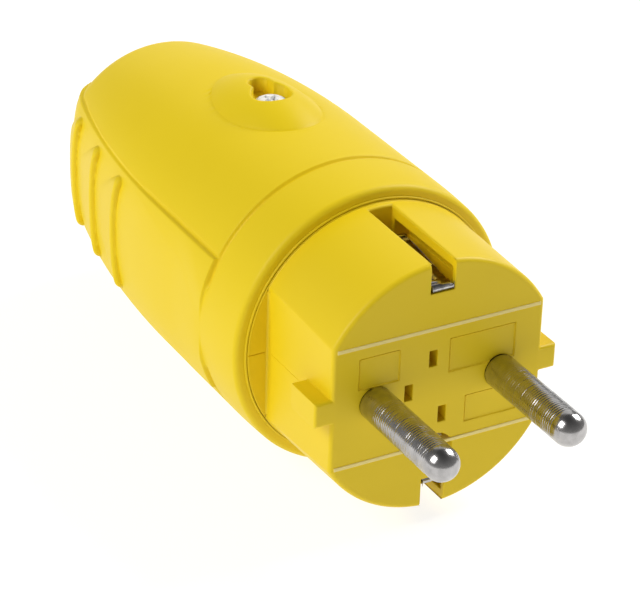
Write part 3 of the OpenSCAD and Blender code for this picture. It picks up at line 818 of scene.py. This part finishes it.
class PLUG_OT_hood(bpy.types.Operator):
    """Model the rubber hood: a turned blank pressed to shape, with its keyhole cut"""

    bl_idname = "plug.hood"
    bl_label = "Rubber Hood"

    def execute(self, context):
        hood = sizes(context.scene.plug_hood)
        piece = turned("moulded_hood", hood_blank_profile(hood), COLUMNS, (0, 1, 0))
        piece.data.materials.append(rubber_finish(context.scene.plug_finish))
        press_hood(hood, piece, blank_skin(hood, spots_of(piece)), slide=True)
        refine(hood, piece, near_mound_foot, 2)
        refine(hood, piece, near_ridge_tips, 2)
        refine(hood, piece, near_keyhole, 3)
        combine(piece, self.keyhole(hood))
        # Refining leaves hairline cracks where fine faces meet coarse ones
        open_mesh(piece)
        bpy.ops.mesh.fill_holes(sides=0)
        close_mesh()
        set_down(piece, ["rubber_hood"], smooth_angle=60)
        return {"FINISHED"}

    def keyhole(self, hood):
        """Tool for the keyhole: round over the screw's head, with a slot whose floor slopes up behind it."""
        top = 2 * hood.radius
        slot_y = hood.screw_y + hood.key_slot_len
        key = rod("key_round", hood.key_r, (0, hood.screw_y, hood.head_seat), (0, hood.screw_y, top), 96)
        slot_z = hood.head_seat - KEY_LAP
        slot_end = rod("key_end", hood.key_slot_r, (0, slot_y, slot_z), (0, slot_y, top), 72)
        slot = block("key_slot", (-hood.key_slot_r, hood.screw_y, slot_z), (hood.key_slot_r, slot_y, top))
        combine(slot, slot_end, "UNION")
        open_mesh(slot)
        pick(slot, "verts", lambda v: v.co.z < hood.head_seat and v.co.y > hood.screw_y + KEY_LAP)
        bpy.ops.transform.translate(value=(0, 0, hood.key_rise))
        close_mesh()
        combine(key, slot, "UNION")
        return key


CORE_SLOT = Vector((1.2, 5, 2.4))
CORE_SLOT_PLACES = ((-0.9, 4.35), (-4.45, 0.05), (0.85, -4.4))
FACE_FIELDS = ((-12, 2.4, 6, 4.5), (1.6, 1.7, 10, 5), (4.4, -6.6, 8, 4))
PIN_SIDES = {"left": -1, "right": 1}
LAP = 0.02
ROUND_SIDES = 192
SEAM_DEPTH = 0.12
SEAM_PROUD = 0.04
PIN_PLAY = 0.05


def outward(side, near, far):
    """Two distances from the middle on one side of the plug, the lower value first."""
    return sorted((side * near, side * far))


def pin_x(side):
    """Distance of a pin from the middle, with its sign."""
    return PIN_SIDES[side] * (PIN_LOW.x + PIN_HIGH.x) / 2


class PLUG_OT_insert(bpy.types.Operator):
    """Model the insert: a drafted round block with flats, guide ribs, slots and raised lines"""

    bl_idname = "plug.insert"
    bl_label = "Moulded Insert"

    def execute(self, context):
        insert = sizes(context.scene.plug_insert)
        pins = sizes(context.scene.plug_pins)
        earth = sizes(context.scene.plug_earth)
        finish = context.scene.plug_finish
        piece = self.nose(insert)
        piece.data.materials.append(plastic_finish(finish))
        start = (0, insert.nose_len - LAP, 0)
        flange = rod("flange", insert.flange_r, start, (0, insert.end_y, 0), ROUND_SIDES)
        combine(piece, flange, "UNION")
        combine(piece, self.guides(insert), "UNION")
        for side in (-1, 1):
            combine(piece, self.fillet(insert, side), "UNION")
        cuts = self.slots(insert, earth) + self.holes(insert, pins) + self.fields(insert)
        combine(piece, gather(cuts), crossing=True)
        open_mesh(piece)
        bpy.ops.mesh.remove_doubles(threshold=1e-3)
        bpy.ops.mesh.dissolve_limited(angle_limit=math.radians(0.5))
        pick(piece, "edges", lambda e: self.at_slot_rim(insert, e))
        bpy.ops.mesh.bevel(offset=insert.slot_edge, segments=4, affect="EDGES", clamp_overlap=False)
        close_mesh()
        soften(piece, insert.soft_edge)
        self.add_seam(piece, insert)
        self.add_lines(piece, insert, finish)
        set_down(piece, ["contact_carrier"], smooth_angle=35)
        even_shading(piece)
        return {"FINISHED"}

    def nose(self, insert):
        """Round block with a draft, cut flat on both sides, its front edge rounded."""
        piece = rod("moulded_insert", insert.rear_r, (0, 0, 0), (0, insert.nose_len + 1, 0), ROUND_SIDES)
        open_mesh(piece)
        bpy.ops.transform.rotate(value=math.pi / ROUND_SIDES, orient_axis="Y", center_override=(0, 0, 0))
        pick(piece, "verts", lambda v: v.co.y < 0.01)
        draft = insert.face_r / insert.rear_r
        bpy.ops.transform.resize(value=(draft, 1, draft), center_override=(0, 0, 0))
        for side in (-1, 1):
            bpy.ops.mesh.select_all(action="SELECT")
            bpy.ops.mesh.bisect(
                plane_co=(side * insert.flat_x, 0, 0), plane_no=(side, 0, 0),
                use_fill=True, clear_outer=True, threshold=1e-5,
            )
        pick(piece, "edges", lambda e: all(v.co.y < 0.01 for v in e.verts))
        bpy.ops.mesh.bevel(offset=insert.face_edge, segments=5, affect="EDGES", clamp_overlap=False)
        close_mesh()
        return piece

    def guides(self, insert):
        """Bar whose two ends are the guide ribs."""
        bar = block(
            "guides", (-insert.guide_x, LAP, -insert.guide_half),
            (insert.guide_x, insert.guide_len, insert.guide_half),
        )
        open_mesh(bar)
        pick(bar, "edges", lambda e: all(v.co.y < 2 * LAP for v in e.verts))
        bpy.ops.mesh.bevel(offset=insert.face_edge * 0.7, segments=4, affect="EDGES")
        close_mesh()
        return bar

    def fillet(self, insert, side):
        """Fillet along the foot of a flat, where it meets the flange."""
        x, y, foot = insert.flat_x, insert.nose_len, insert.foot
        half = math.sqrt(insert.rear_r ** 2 - (x + foot) ** 2)
        points = [(x - LAP, y - foot)]
        for i in range(0, 7):
            turn = math.radians(15 * i)
            points.append((x + foot - foot * math.cos(turn), y - foot + foot * math.sin(turn)))
        points += [(x + foot, y + LAP), (x - LAP, y + LAP)]
        piece = drawn_line("fillet", [(side * a, b, -half) for a, b in points])
        bpy.ops.mesh.select_all(action="SELECT")
        bpy.ops.mesh.edge_face_add()
        bpy.ops.mesh.extrude_region_move(TRANSFORM_OT_translate={"value": (0, 0, 2 * half)})
        bpy.ops.mesh.select_all(action="SELECT")
        bpy.ops.mesh.normals_make_consistent(inside=False)
        close_mesh()
        return piece

    def at_slot_rim(self, insert, edge):
        """Whether an edge runs along the upper rim of an earth slot."""
        half = insert.slot_w / 2 + 0.01
        return all(
            abs(v.co.x) < half and v.co.y > insert.face_edge - 0.01 and v.co.y < insert.slot_len + 0.01
            and abs(v.co.z) > insert.face_r - insert.face_edge
            for v in edge.verts
        )

    def add_seam(self, piece, insert):
        """Mould's seam: a fine groove across each side of the flange and a raised line along each flat."""
        low, high = insert.seam_z - insert.seam_w / 2, insert.seam_z + insert.seam_w / 2
        for side in (-1, 1):
            start, end = outward(side, insert.flat_x + insert.foot + 0.1, insert.flange_r + 1)
            floor_y = insert.nose_len + SEAM_DEPTH
            combine(piece, block("seam", (start, insert.nose_len - 1, low), (end, floor_y, high)))
            start, end = outward(side, insert.flat_x - 0.3, insert.flat_x + SEAM_PROUD)
            line_y = insert.nose_len - insert.foot - 0.5
            line = block("seam", (start, insert.guide_len - 0.2, low), (end, line_y, high))
            combine(piece, line, "UNION")

    def slots(self, insert, earth):
        """Earth slots above and below, with the cavities in them and the strip's channels behind them."""
        half = insert.slot_w / 2
        floor = insert.slot_floor
        strip = floor + earth.strip_t + 0.2
        cuts = []
        for side in (-1, 1):
            low, high = outward(side, floor, 2 * insert.face_r)
            cuts.append(block("slot", (-half, -1, low), (half, insert.slot_len, high)))
            low, high = outward(side, floor, insert.cavity_z)
            wide = half + insert.cavity_w
            cuts.append(block("cavity", (-wide, insert.slot_wall, low), (wide, insert.slot_len - 0.6, high)))
            low, high = outward(side, floor - LAP, strip)
            start = (LAP - half, insert.slot_len - 1, low)
            cuts.append(block("channel", start, (half - LAP, insert.end_y + 1, high)))
        plate = earth.bow_w / 2 + 0.2
        strip += LAP
        start = (-plate, insert.end_y - earth.strip_t, -strip)
        cuts.append(block("plate_seat", start, (plate, insert.end_y + 2, strip)))
        return cuts

    def holes(self, insert, pins):
        """Holes of the pins, the face screw and the wire cores."""
        cuts = []
        for side in PIN_SIDES:
            x = pin_x(side)
            cuts.append(rod("bore", pins.shank_r + PIN_PLAY, (x, -1, 0), (x, insert.end_y + 1, 0)))
            collar_y = insert.end_y - pins.collar_t
            cuts.append(rod("pocket", pins.collar_r + PIN_PLAY, (x, collar_y, 0), (x, insert.end_y + 2, 0)))
        z = -insert.hole_drop
        cuts.append(rod("screw_hole", insert.hole_r, (0, -1, z), (0, insert.hole_depth, z)))
        for x, z in CORE_SLOT_PLACES:
            low = (x - CORE_SLOT.x / 2, -1, z - CORE_SLOT.z / 2)
            high = (x + CORE_SLOT.x / 2, CORE_SLOT.y, z + CORE_SLOT.z / 2)
            cuts.append(block("core_slot", low, high))
        return cuts

    def fields(self, insert):
        """Bare shallow fields in the face."""
        return [
            block("field", (x, -1, z), (x + width, insert.field_depth, z + height))
            for x, z, width, height in FACE_FIELDS
        ]

    def add_lines(self, piece, insert, finish):
        """Pale lines that stand out across the face; their pale colour is a painted highlight along each
        raised line.
        """
        pale = line_highlight_finish(finish)
        reach = insert.flat_x - insert.face_edge
        for side in (-1, 1):
            z = side * insert.line_z
            half = insert.line_w / 2
            line = block("line", (-reach, -insert.line_proud, z - half), (reach, 1, z + half))
            open_mesh(line)
            pick(line, "edges", lambda e: all(v.co.y < 0 for v in e.verts))
            bpy.ops.mesh.bevel(offset=insert.line_proud * 0.6, segments=2, affect="EDGES")
            close_mesh()
            line.data.materials.append(pale)
            combine(piece, line, "UNION")


class PLUG_OT_pins(bpy.types.Operator):
    """Model the two turned pins with their fine rings and round tips"""

    bl_idname = "plug.pins"
    bl_label = "Turned Pins"

    def execute(self, context):
        pins = sizes(context.scene.plug_pins)
        insert = sizes(context.scene.plug_insert)
        nickel = nickel_finish(context.scene.plug_finish)
        first = turned("turned_pin_left", self.profile(pins, insert), 64, (0, 1, 0))
        first.data.materials.append(nickel)
        choose(first)
        bpy.ops.object.duplicate()
        second = bpy.context.active_object
        second.name = "turned_pin_right"
        for side, piece in (("left", first), ("right", second)):
            piece.location.x = pin_x(side)
            choose(piece)
            bpy.ops.object.transform_apply(location=True)
            set_down(piece, ["pin_" + side], smooth_angle=50)
        return {"FINISHED"}

    def profile(self, pins, insert):
        """Round tip, ringed pin, duller root, shank, collar and stud."""
        centre_y = pins.radius - pins.tip_y
        profile = []
        for i in range(0, 15):
            turn = math.radians(6 * i)
            profile.append((pins.radius * math.sin(turn), centre_y - pins.radius * math.cos(turn)))
        rings = int((-centre_y - 1) / pins.ring_pitch)
        for i in range(rings):
            y = centre_y + 0.5 + i * pins.ring_pitch
            depth = pins.ring_depth * (0.7 + 0.3 * math.sin(2.4 * i * i)) * (0.6 if y > -pins.root_len else 1)
            for j in range(6):
                cut = depth * (1 - math.cos(math.pi * j / 3)) / 2
                profile.append((pins.radius - cut, y + pins.ring_pitch * j / 6))
        collar_y = insert.end_y - pins.collar_t
        profile += [
            (pins.radius, -0.2), (pins.radius - 0.15, 0), (pins.shank_r, 0),
            (pins.shank_r, collar_y), (pins.collar_r - 0.2, collar_y), (pins.collar_r, collar_y + 0.2),
            (pins.collar_r, insert.end_y), (pins.stud_r, insert.end_y),
            (pins.stud_r, pins.end_y - 0.3), (pins.stud_r - 0.3, pins.end_y), (0, pins.end_y),
        ]
        return profile


STRIP_EDGE = 0.1


class PLUG_OT_earth(bpy.types.Operator):
    """Model the earth contact: a folded spring strip above and below, joined by a plate"""

    bl_idname = "plug.earth"
    bl_label = "Earth Contact"

    def execute(self, context):
        earth = sizes(context.scene.plug_earth)
        insert = sizes(context.scene.plug_insert)
        upper = self.spring(earth, insert)
        choose(upper)
        bpy.ops.object.duplicate()
        lower = bpy.context.active_object
        lower.scale.z = -1
        bpy.ops.object.transform_apply(scale=True)
        face_outwards(lower)
        plate_y = insert.end_y - earth.strip_t
        reach = earth.leg_z + earth.strip_t / 2
        plate = block("plate", (-earth.bow_w / 2, plate_y, -reach), (earth.bow_w / 2, insert.end_y, reach))
        soften(plate, 0.12)
        combine(plate, upper, "UNION")
        combine(plate, lower, "UNION")
        plate.name = "earth_contact"
        plate.data.materials.clear()
        plate.data.materials.append(strip_finish(context.scene.plug_finish))
        set_down(plate, ["earth_bow"], smooth_angle=35)
        return {"FINISHED"}

    def spring(self, earth, insert):
        """Upper spring: a line is drawn, rounded, drawn out and thickened, with a rod as its rolled tip."""
        crown = earth.crown_z - earth.strip_t / 2
        points = [
            (0, earth.tip_y, earth.leg_z), (0, earth.tip_y + earth.tip_len, earth.leg_z + earth.tip_rise),
            (0, insert.slot_len - earth.crown_back, crown),
            (0, insert.slot_len - 0.6, earth.leg_z), (0, insert.end_y - earth.strip_t / 2, earth.leg_z),
        ]
        piece = drawn_line("spring", points)
        pick(piece, "verts", lambda v: len(v.link_edges) == 2)
        bpy.ops.mesh.bevel(offset=earth.bend_r, segments=5, affect="VERTICES")
        bpy.ops.mesh.select_all(action="SELECT")
        bpy.ops.mesh.extrude_region_move(TRANSFORM_OT_translate={"value": (earth.strip_w, 0, 0)})
        bpy.ops.mesh.select_all(action="SELECT")
        bpy.ops.transform.translate(value=(-earth.strip_w / 2, 0, 0))
        close_mesh()
        choose(piece)
        wall = piece.modifiers.new("thickness", "SOLIDIFY")
        wall.thickness = earth.strip_t
        wall.offset = 0
        bpy.ops.object.modifier_apply(modifier=wall.name)
        face_outwards(piece)
        soften(piece, STRIP_EDGE)
        half = earth.strip_w / 2 - LAP
        place = Vector((half, earth.tip_y + earth.roll_r, insert.slot_floor + earth.roll_r + LAP))
        roll = rod("roll", earth.roll_r, place, place - Vector((2 * half, 0, 0)), 40)
        soften(roll, STRIP_EDGE)
        return gather([piece, roll])


THREAD_PITCH = 0.7
HEAD_DOME = 0.8
CROSS_REACH = 0.68
CROSS_HALF = 0.42
CROSS_DEPTH = 1.2
CROSS_TURN = math.radians(24)


def screw_form(shank_r, head_h, lying=False):
    """Sizes of a screw that stands upright, or lies with its head to the front."""
    return SimpleNamespace(shank_r=shank_r, head_h=head_h, lying=lying)


TERMINAL_SCREW = screw_form(1.5, 1.8)
CLAMP_SCREW = screw_form(1.45, 1.9)
SCREWS = {
    "hood_screw": screw_form(2.0, 2.3),
    "face_screw": screw_form(1.5, 2.2, lying=True),
    "terminal_screw_left": TERMINAL_SCREW,
    "terminal_screw_right": TERMINAL_SCREW,
    "earth_screw": TERMINAL_SCREW,
    "clamp_screw_left": CLAMP_SCREW,
    "clamp_screw_right": CLAMP_SCREW,
}


class PLUG_OT_screws(bpy.types.Operator):
    """Model the screws: turned blanks with ringed shanks and a cross cut in each head"""

    bl_idname = "plug.screws"
    bl_label = "Screws"

    def execute(self, context):
        zinc = zinc_finish(context.scene.plug_finish)
        for node, screw in SCREWS.items():
            low, high = node_box(node)
            piece = self.blank(node, screw, low, high)
            piece.data.materials.append(zinc)
            set_down(piece, [node], smooth_angle=40)
        return {"FINISHED"}

    def blank(self, node, screw, low, high):
        """Screw standing on its tip, then turned and moved to its place."""
        span = (high - low).y if screw.lying else (high - low).z
        head_r = (high - low).x / 2
        head_z = span - screw.head_h
        profile = [(0, 0), (screw.shank_r * 0.6, 0), (screw.shank_r * 0.8, 0.5)]
        for i in range(int((head_z - 1.5) / THREAD_PITCH)):
            z = 0.6 + i * THREAD_PITCH
            profile += [(screw.shank_r * 0.82, z), (screw.shank_r, z + 0.3), (screw.shank_r, z + 0.4)]
        profile += [
            (screw.shank_r * 0.9, head_z - 0.4), (screw.shank_r * 0.9, head_z), (head_r - 0.1, head_z),
            (head_r, head_z + 0.1), (head_r, span - HEAD_DOME - 0.2), (head_r - 0.1, span - HEAD_DOME),
            (head_r * 0.85, span - HEAD_DOME * 0.5), (head_r * 0.68, span - HEAD_DOME * 0.2),
            (head_r * 0.4, span - 0.05), (0, span),
        ]
        piece = turned("zinc_" + node, profile, 48, (0, 0, 1))
        reach = head_r * CROSS_REACH
        for turn in (0, math.pi / 2):
            cross = block("cross", (-reach, -CROSS_HALF, span - CROSS_DEPTH), (reach, CROSS_HALF, span + 1))
            open_mesh(cross)
            pick(cross, "verts", lambda v: v.co.z < span)
            bpy.ops.transform.resize(value=(0.45, 0.8, 1), center_override=(0, 0, span))
            close_mesh()
            cross.rotation_euler.z = turn + CROSS_TURN
            choose(cross)
            bpy.ops.object.transform_apply(rotation=True)
            combine(piece, cross)
        middle = (low + high) / 2
        if screw.lying:
            piece.rotation_euler.x = math.pi / 2
            piece.location = (middle.x, high.y, middle.z)
        else:
            piece.location = (middle.x, middle.y, low.z)
        choose(piece)
        bpy.ops.object.transform_apply(location=True, rotation=True)
        return piece


INNER_FINISHES = {
    "base_plastic": ("terminal_base", "flex_clamp"),
    "brass": ("terminal_left", "terminal_right", "earth_terminal"),
    "zinc": ("wire_guard_left", "wire_guard_right", "wire_guard_earth", "hood_nut"),
}


class PLUG_OT_inside(bpy.types.Operator):
    """Give the pieces inside the hood their finishes"""

    bl_idname = "plug.inside"
    bl_label = "Inner Pieces"

    def execute(self, context):
        colours = context.scene.plug_finish
        finishes = {
            "base_plastic": base_finish(colours),
            "brass": brass_finish(colours),
            "zinc": zinc_finish(colours),
        }
        for slot, nodes in INNER_FINISHES.items():
            for node in nodes:
                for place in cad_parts[node].material_slots:
                    place.material = finishes[slot]
        return {"FINISHED"}


# Finishes

def start_finish(name, **values):
    """A new material with its shader's plain values set."""
    material = bpy.data.materials.get(name)
    if material:
        return material, None, None
    material = bpy.data.materials.new(name)
    material.use_nodes = True
    tree = material.node_tree
    shader = tree.nodes["Principled BSDF"]
    for key, value in values.items():
        shader.inputs[key.replace("_", " ")].default_value = value
    return material, tree, shader


def scaled(tone, factor):
    """A colour made lighter or darker."""
    return tuple(factor * part for part in tone)


def speckle(tree, scale, detail):
    """A noise that reads object coordinates."""
    node = tree.nodes.new("ShaderNodeTexNoise")
    node.inputs["Detail"].default_value = detail
    node.inputs["Scale"].default_value = scale
    place = tree.nodes.new("ShaderNodeTexCoord")
    tree.links.new(place.outputs["Object"], node.inputs["Vector"])
    return node


def mottle(tree, shader, noise, first, second, low=0, high=1):
    """Mixes two colours into the base: the first where a noise is low, the second where it is high."""
    mix = tree.nodes.new("ShaderNodeMix")
    mix.data_type = "RGBA"
    mix.inputs["A"].default_value = (*first, 1)
    mix.inputs["B"].default_value = (*second, 1)
    share = tree.nodes.new("ShaderNodeMapRange")
    share.inputs["From Min"].default_value = low
    share.inputs["From Max"].default_value = high
    tree.links.new(noise.outputs["Fac"], share.inputs["Value"])
    tree.links.new(share.outputs["Result"], mix.inputs["Factor"])
    tree.links.new(mix.outputs["Result"], shader.inputs["Base Color"])


def vary_roughness(tree, shader, noise, low, high):
    """Lets the roughness wander between two values."""
    span = tree.nodes.new("ShaderNodeMapRange")
    span.inputs["To Min"].default_value = low
    span.inputs["To Max"].default_value = high
    tree.links.new(noise.outputs["Fac"], span.inputs["Value"])
    tree.links.new(span.outputs["Result"], shader.inputs["Roughness"])


def add_bump(tree, shader, height, distance, strength):
    """Raises the surface by a texture."""
    bump = tree.nodes.new("ShaderNodeBump")
    bump.inputs["Distance"].default_value = distance
    bump.inputs["Strength"].default_value = strength
    tree.links.new(height.outputs["Fac"], bump.inputs["Height"])
    tree.links.new(bump.outputs["Normal"], shader.inputs["Normal"])


def rubber_finish(colours):
    """Satin rubber with a fine moulded grain."""
    material, tree, shader = start_finish("satin_rubber", Specular_IOR_Level=0.25)
    if tree:
        clouds = speckle(tree, 60, 3)
        grain = speckle(tree, 4200, 2)
        mottle(tree, shader, clouds, colours.rubber, colours.rubber_deep)
        vary_roughness(tree, shader, clouds, 0.44, 0.56)
        add_bump(tree, shader, grain, 0.00002, 0.5)
    return material


def plastic_finish(colours):
    """Smooth hard moulding with a faint orange-peel."""
    material, tree, shader = start_finish("smooth_plastic", Specular_IOR_Level=0.3)
    if tree:
        clouds = speckle(tree, 90, 3)
        peel = speckle(tree, 1500, 2)
        mottle(tree, shader, clouds, colours.plastic, colours.plastic_deep)
        vary_roughness(tree, shader, clouds, 0.42, 0.52)
        add_bump(tree, shader, peel, 0.000015, 0.3)
    return material


def line_highlight_finish(colours):
    """Pale line across the face: its pale colour is a painted highlight along the raised line."""
    material, tree, shader = start_finish("pale_line")
    if tree:
        specks = speckle(tree, 1200, 3)
        mottle(tree, shader, specks, colours.line, scaled(colours.line, 0.9))
        vary_roughness(tree, shader, specks, 0.55, 0.7)
    return material


def nickel_finish(colours):
    """Bright turned nickel."""
    material, tree, shader = start_finish("bright_nickel", Metallic=1)
    if tree:
        metal_patches = speckle(tree, 700, 4)
        mottle(tree, shader, metal_patches, colours.nickel, scaled(colours.nickel, 0.8), 0.35, 0.65)
        vary_roughness(tree, shader, metal_patches, 0.14, 0.26)
    return material


def strip_finish(colours):
    """Rolled nickel of the spring strip, on the whole darker than the pins' nickel: painted shade for the
    strip's dark reflections in the earth slots, in patches that vary at random.
    """
    material, tree, shader = start_finish("rolled_nickel", Metallic=1)
    if tree:
        metal_patches = speckle(tree, 900, 4)
        # A darker copy of the nickel colour: painted shade for the strip's dark reflections.
        mottle(tree, shader, metal_patches, scaled(colours.nickel, 1.15), scaled(colours.nickel, 0.6), 0.35, 0.65)
        vary_roughness(tree, shader, metal_patches, 0.12, 0.24)
    return material


def zinc_finish(colours):
    """Bright zinc plating, with near-black flecks painted in as dark reflections."""
    material, tree, shader = start_finish("bright_zinc", Metallic=1)
    if tree:
        metal_patches = speckle(tree, 2800, 3)
        # Near-black flecks in the colour are painted reflection: they darken the screw heads as dark
        # surroundings would.
        mottle(tree, shader, metal_patches, colours.zinc, scaled(colours.zinc, 0.12), 0.4, 0.5)
        vary_roughness(tree, shader, metal_patches, 0.1, 0.24)
        add_bump(tree, shader, metal_patches, 0.0003, 0.1)
    return material


def brass_finish(colours):
    """Machined brass."""
    material, tree, shader = start_finish("machined_brass", Metallic=1)
    if tree:
        marks = speckle(tree, 1800, 4)
        mottle(tree, shader, marks, colours.brass, scaled(colours.brass, 0.85))
        vary_roughness(tree, shader, marks, 0.22, 0.38)
    return material


def base_finish(colours):
    """Matt pale moulding."""
    material, tree, shader = start_finish("matt_moulding")
    if tree:
        clouds = speckle(tree, 250, 4)
        mottle(tree, shader, clouds, colours.base, scaled(colours.base, 0.93))
        vary_roughness(tree, shader, clouds, 0.5, 0.65)
    return material


def floor_finish(colours, glow):
    """Pale seamless floor, lit from below."""
    material, tree, shader = start_finish("pale_floor", Specular_IOR_Level=0.1, Emission_Strength=glow)
    if tree:
        shader.inputs["Emission Color"].default_value = (1, 1, 1, 1)
        clouds = speckle(tree, 3, 2)
        mottle(tree, shader, clouds, colours.floor, scaled(colours.floor, 0.995))
        vary_roughness(tree, shader, clouds, 0.85, 0.95)
    return material


SOFT_BOXES = {
    "left": ((-0.6, 0.07, 0.45), 0.42),
    "right": ((0.565, 0.1, 0.485), 0.36),
    "back": ((0.35, 0.85, 0.5), 0.8),
}
LIGHT_AIM = Vector((0, 0.03, 0))


class PLUG_OT_stage(bpy.types.Operator):
    """Set the camera, the soft lights and the pale floor"""

    bl_idname = "plug.stage"
    bl_label = "Stage"

    def execute(self, context):
        stage = context.scene.plug_stage
        self.camera(context.scene, stage)
        for side, (place, width) in SOFT_BOXES.items():
            self.soft_box(side + "_box", place, width, getattr(stage, side + "_power"))
        self.surroundings(context.scene, stage)
        context.scene.view_settings.view_transform = "Standard"
        floor = begin(
            "floor", bpy.ops.mesh.primitive_plane_add, size=stage.floor_size, location=(0, 0, CAD_BOX[0].z),
        )
        floor.data.materials.append(floor_finish(context.scene.plug_finish, stage.floor_glow))
        return {"FINISHED"}

    def camera(self, scene, stage):
        """Camera at the photograph's viewing angle."""
        a, e = stage.azimuth, stage.elevation
        back = Vector((math.sin(a) * math.cos(e), -math.cos(a) * math.cos(e), math.sin(e)))
        right = Vector((math.cos(a), math.sin(a), 0))
        turn = Matrix.Rotation(stage.roll, 3, back)
        right, up = turn @ right, turn @ back.cross(right)
        place = back * stage.distance - right * stage.shift_right - up * stage.shift_up
        data = bpy.data.cameras.new("camera")
        data.lens = stage.lens
        data.sensor_fit = "HORIZONTAL"
        data.clip_start, data.clip_end = 0.01, 20
        camera = bpy.data.objects.new("camera", data)
        scene.collection.objects.link(camera)
        camera.matrix_world = Matrix((right, up, back)).transposed().to_4x4()
        camera.location = place
        scene.camera = camera

    def surroundings(self, scene, stage):
        """Soft light from all round that gets weaker towards the top."""
        world = bpy.data.worlds.new("soft_surroundings")
        scene.world = world
        world.use_nodes = True
        tree = world.node_tree
        shade = tree.nodes["Background"]
        shade.inputs["Color"].default_value = (1, 1, 1, 1)
        way = tree.nodes.new("ShaderNodeTexCoord")
        height = tree.nodes.new("ShaderNodeSeparateXYZ")
        fade = tree.nodes.new("ShaderNodeMapRange")
        fade.inputs["To Min"].default_value = stage.fill
        fade.inputs["To Max"].default_value = stage.fill_above
        tree.links.new(way.outputs["Generated"], height.inputs["Vector"])
        tree.links.new(height.outputs["Z"], fade.inputs["Value"])
        tree.links.new(fade.outputs["Result"], shade.inputs["Strength"])

    def soft_box(self, name, place, width, power):
        """Square area light that looks at the plug."""
        choose()
        bpy.ops.object.light_add(type="AREA", location=place)
        light = bpy.context.active_object
        light.name = name
        light.data.size = width
        light.data.energy = power
        aim = LIGHT_AIM - Vector(place)
        light.rotation_euler = aim.to_track_quat("-Z", "Y").to_euler()


class PLUG_PT_panel(bpy.types.Panel):
    """Lists the steps that model the plug, and their settings"""

    bl_idname = "PLUG_PT_panel"
    bl_label = "Plug"
    bl_space_type = "VIEW_3D"
    bl_region_type = "UI"
    bl_category = "Plug"

    def draw(self, context):
        for operator in OPERATORS:
            self.layout.operator(operator.bl_idname)
        for name, group in GROUPS.items():
            box = self.layout.box()
            box.label(text=group.__doc__)
            for key in group.__annotations__:
                box.prop(getattr(context.scene, name), key)


OPERATORS = (
    PLUG_OT_stage, PLUG_OT_hood, PLUG_OT_insert, PLUG_OT_pins,
    PLUG_OT_earth, PLUG_OT_screws, PLUG_OT_inside,
)
CLASSES = (*GROUPS.values(), *OPERATORS, PLUG_PT_panel)


def register():
    for item in CLASSES:
        bpy.utils.register_class(item)
    for name, group in GROUPS.items():
        setattr(bpy.types.Scene, name, bpy.props.PointerProperty(type=group))


def unregister():
    for name in GROUPS:
        delattr(bpy.types.Scene, name)
    for item in reversed(CLASSES):
        bpy.utils.unregister_class(item)


def main():
    register()
    bpy.ops.plug.stage()
    bpy.ops.plug.hood()
    bpy.ops.plug.insert()
    bpy.ops.plug.pins()
    bpy.ops.plug.earth()
    bpy.ops.plug.screws()
    bpy.ops.plug.inside()


if __name__ == "__main__":
    main()
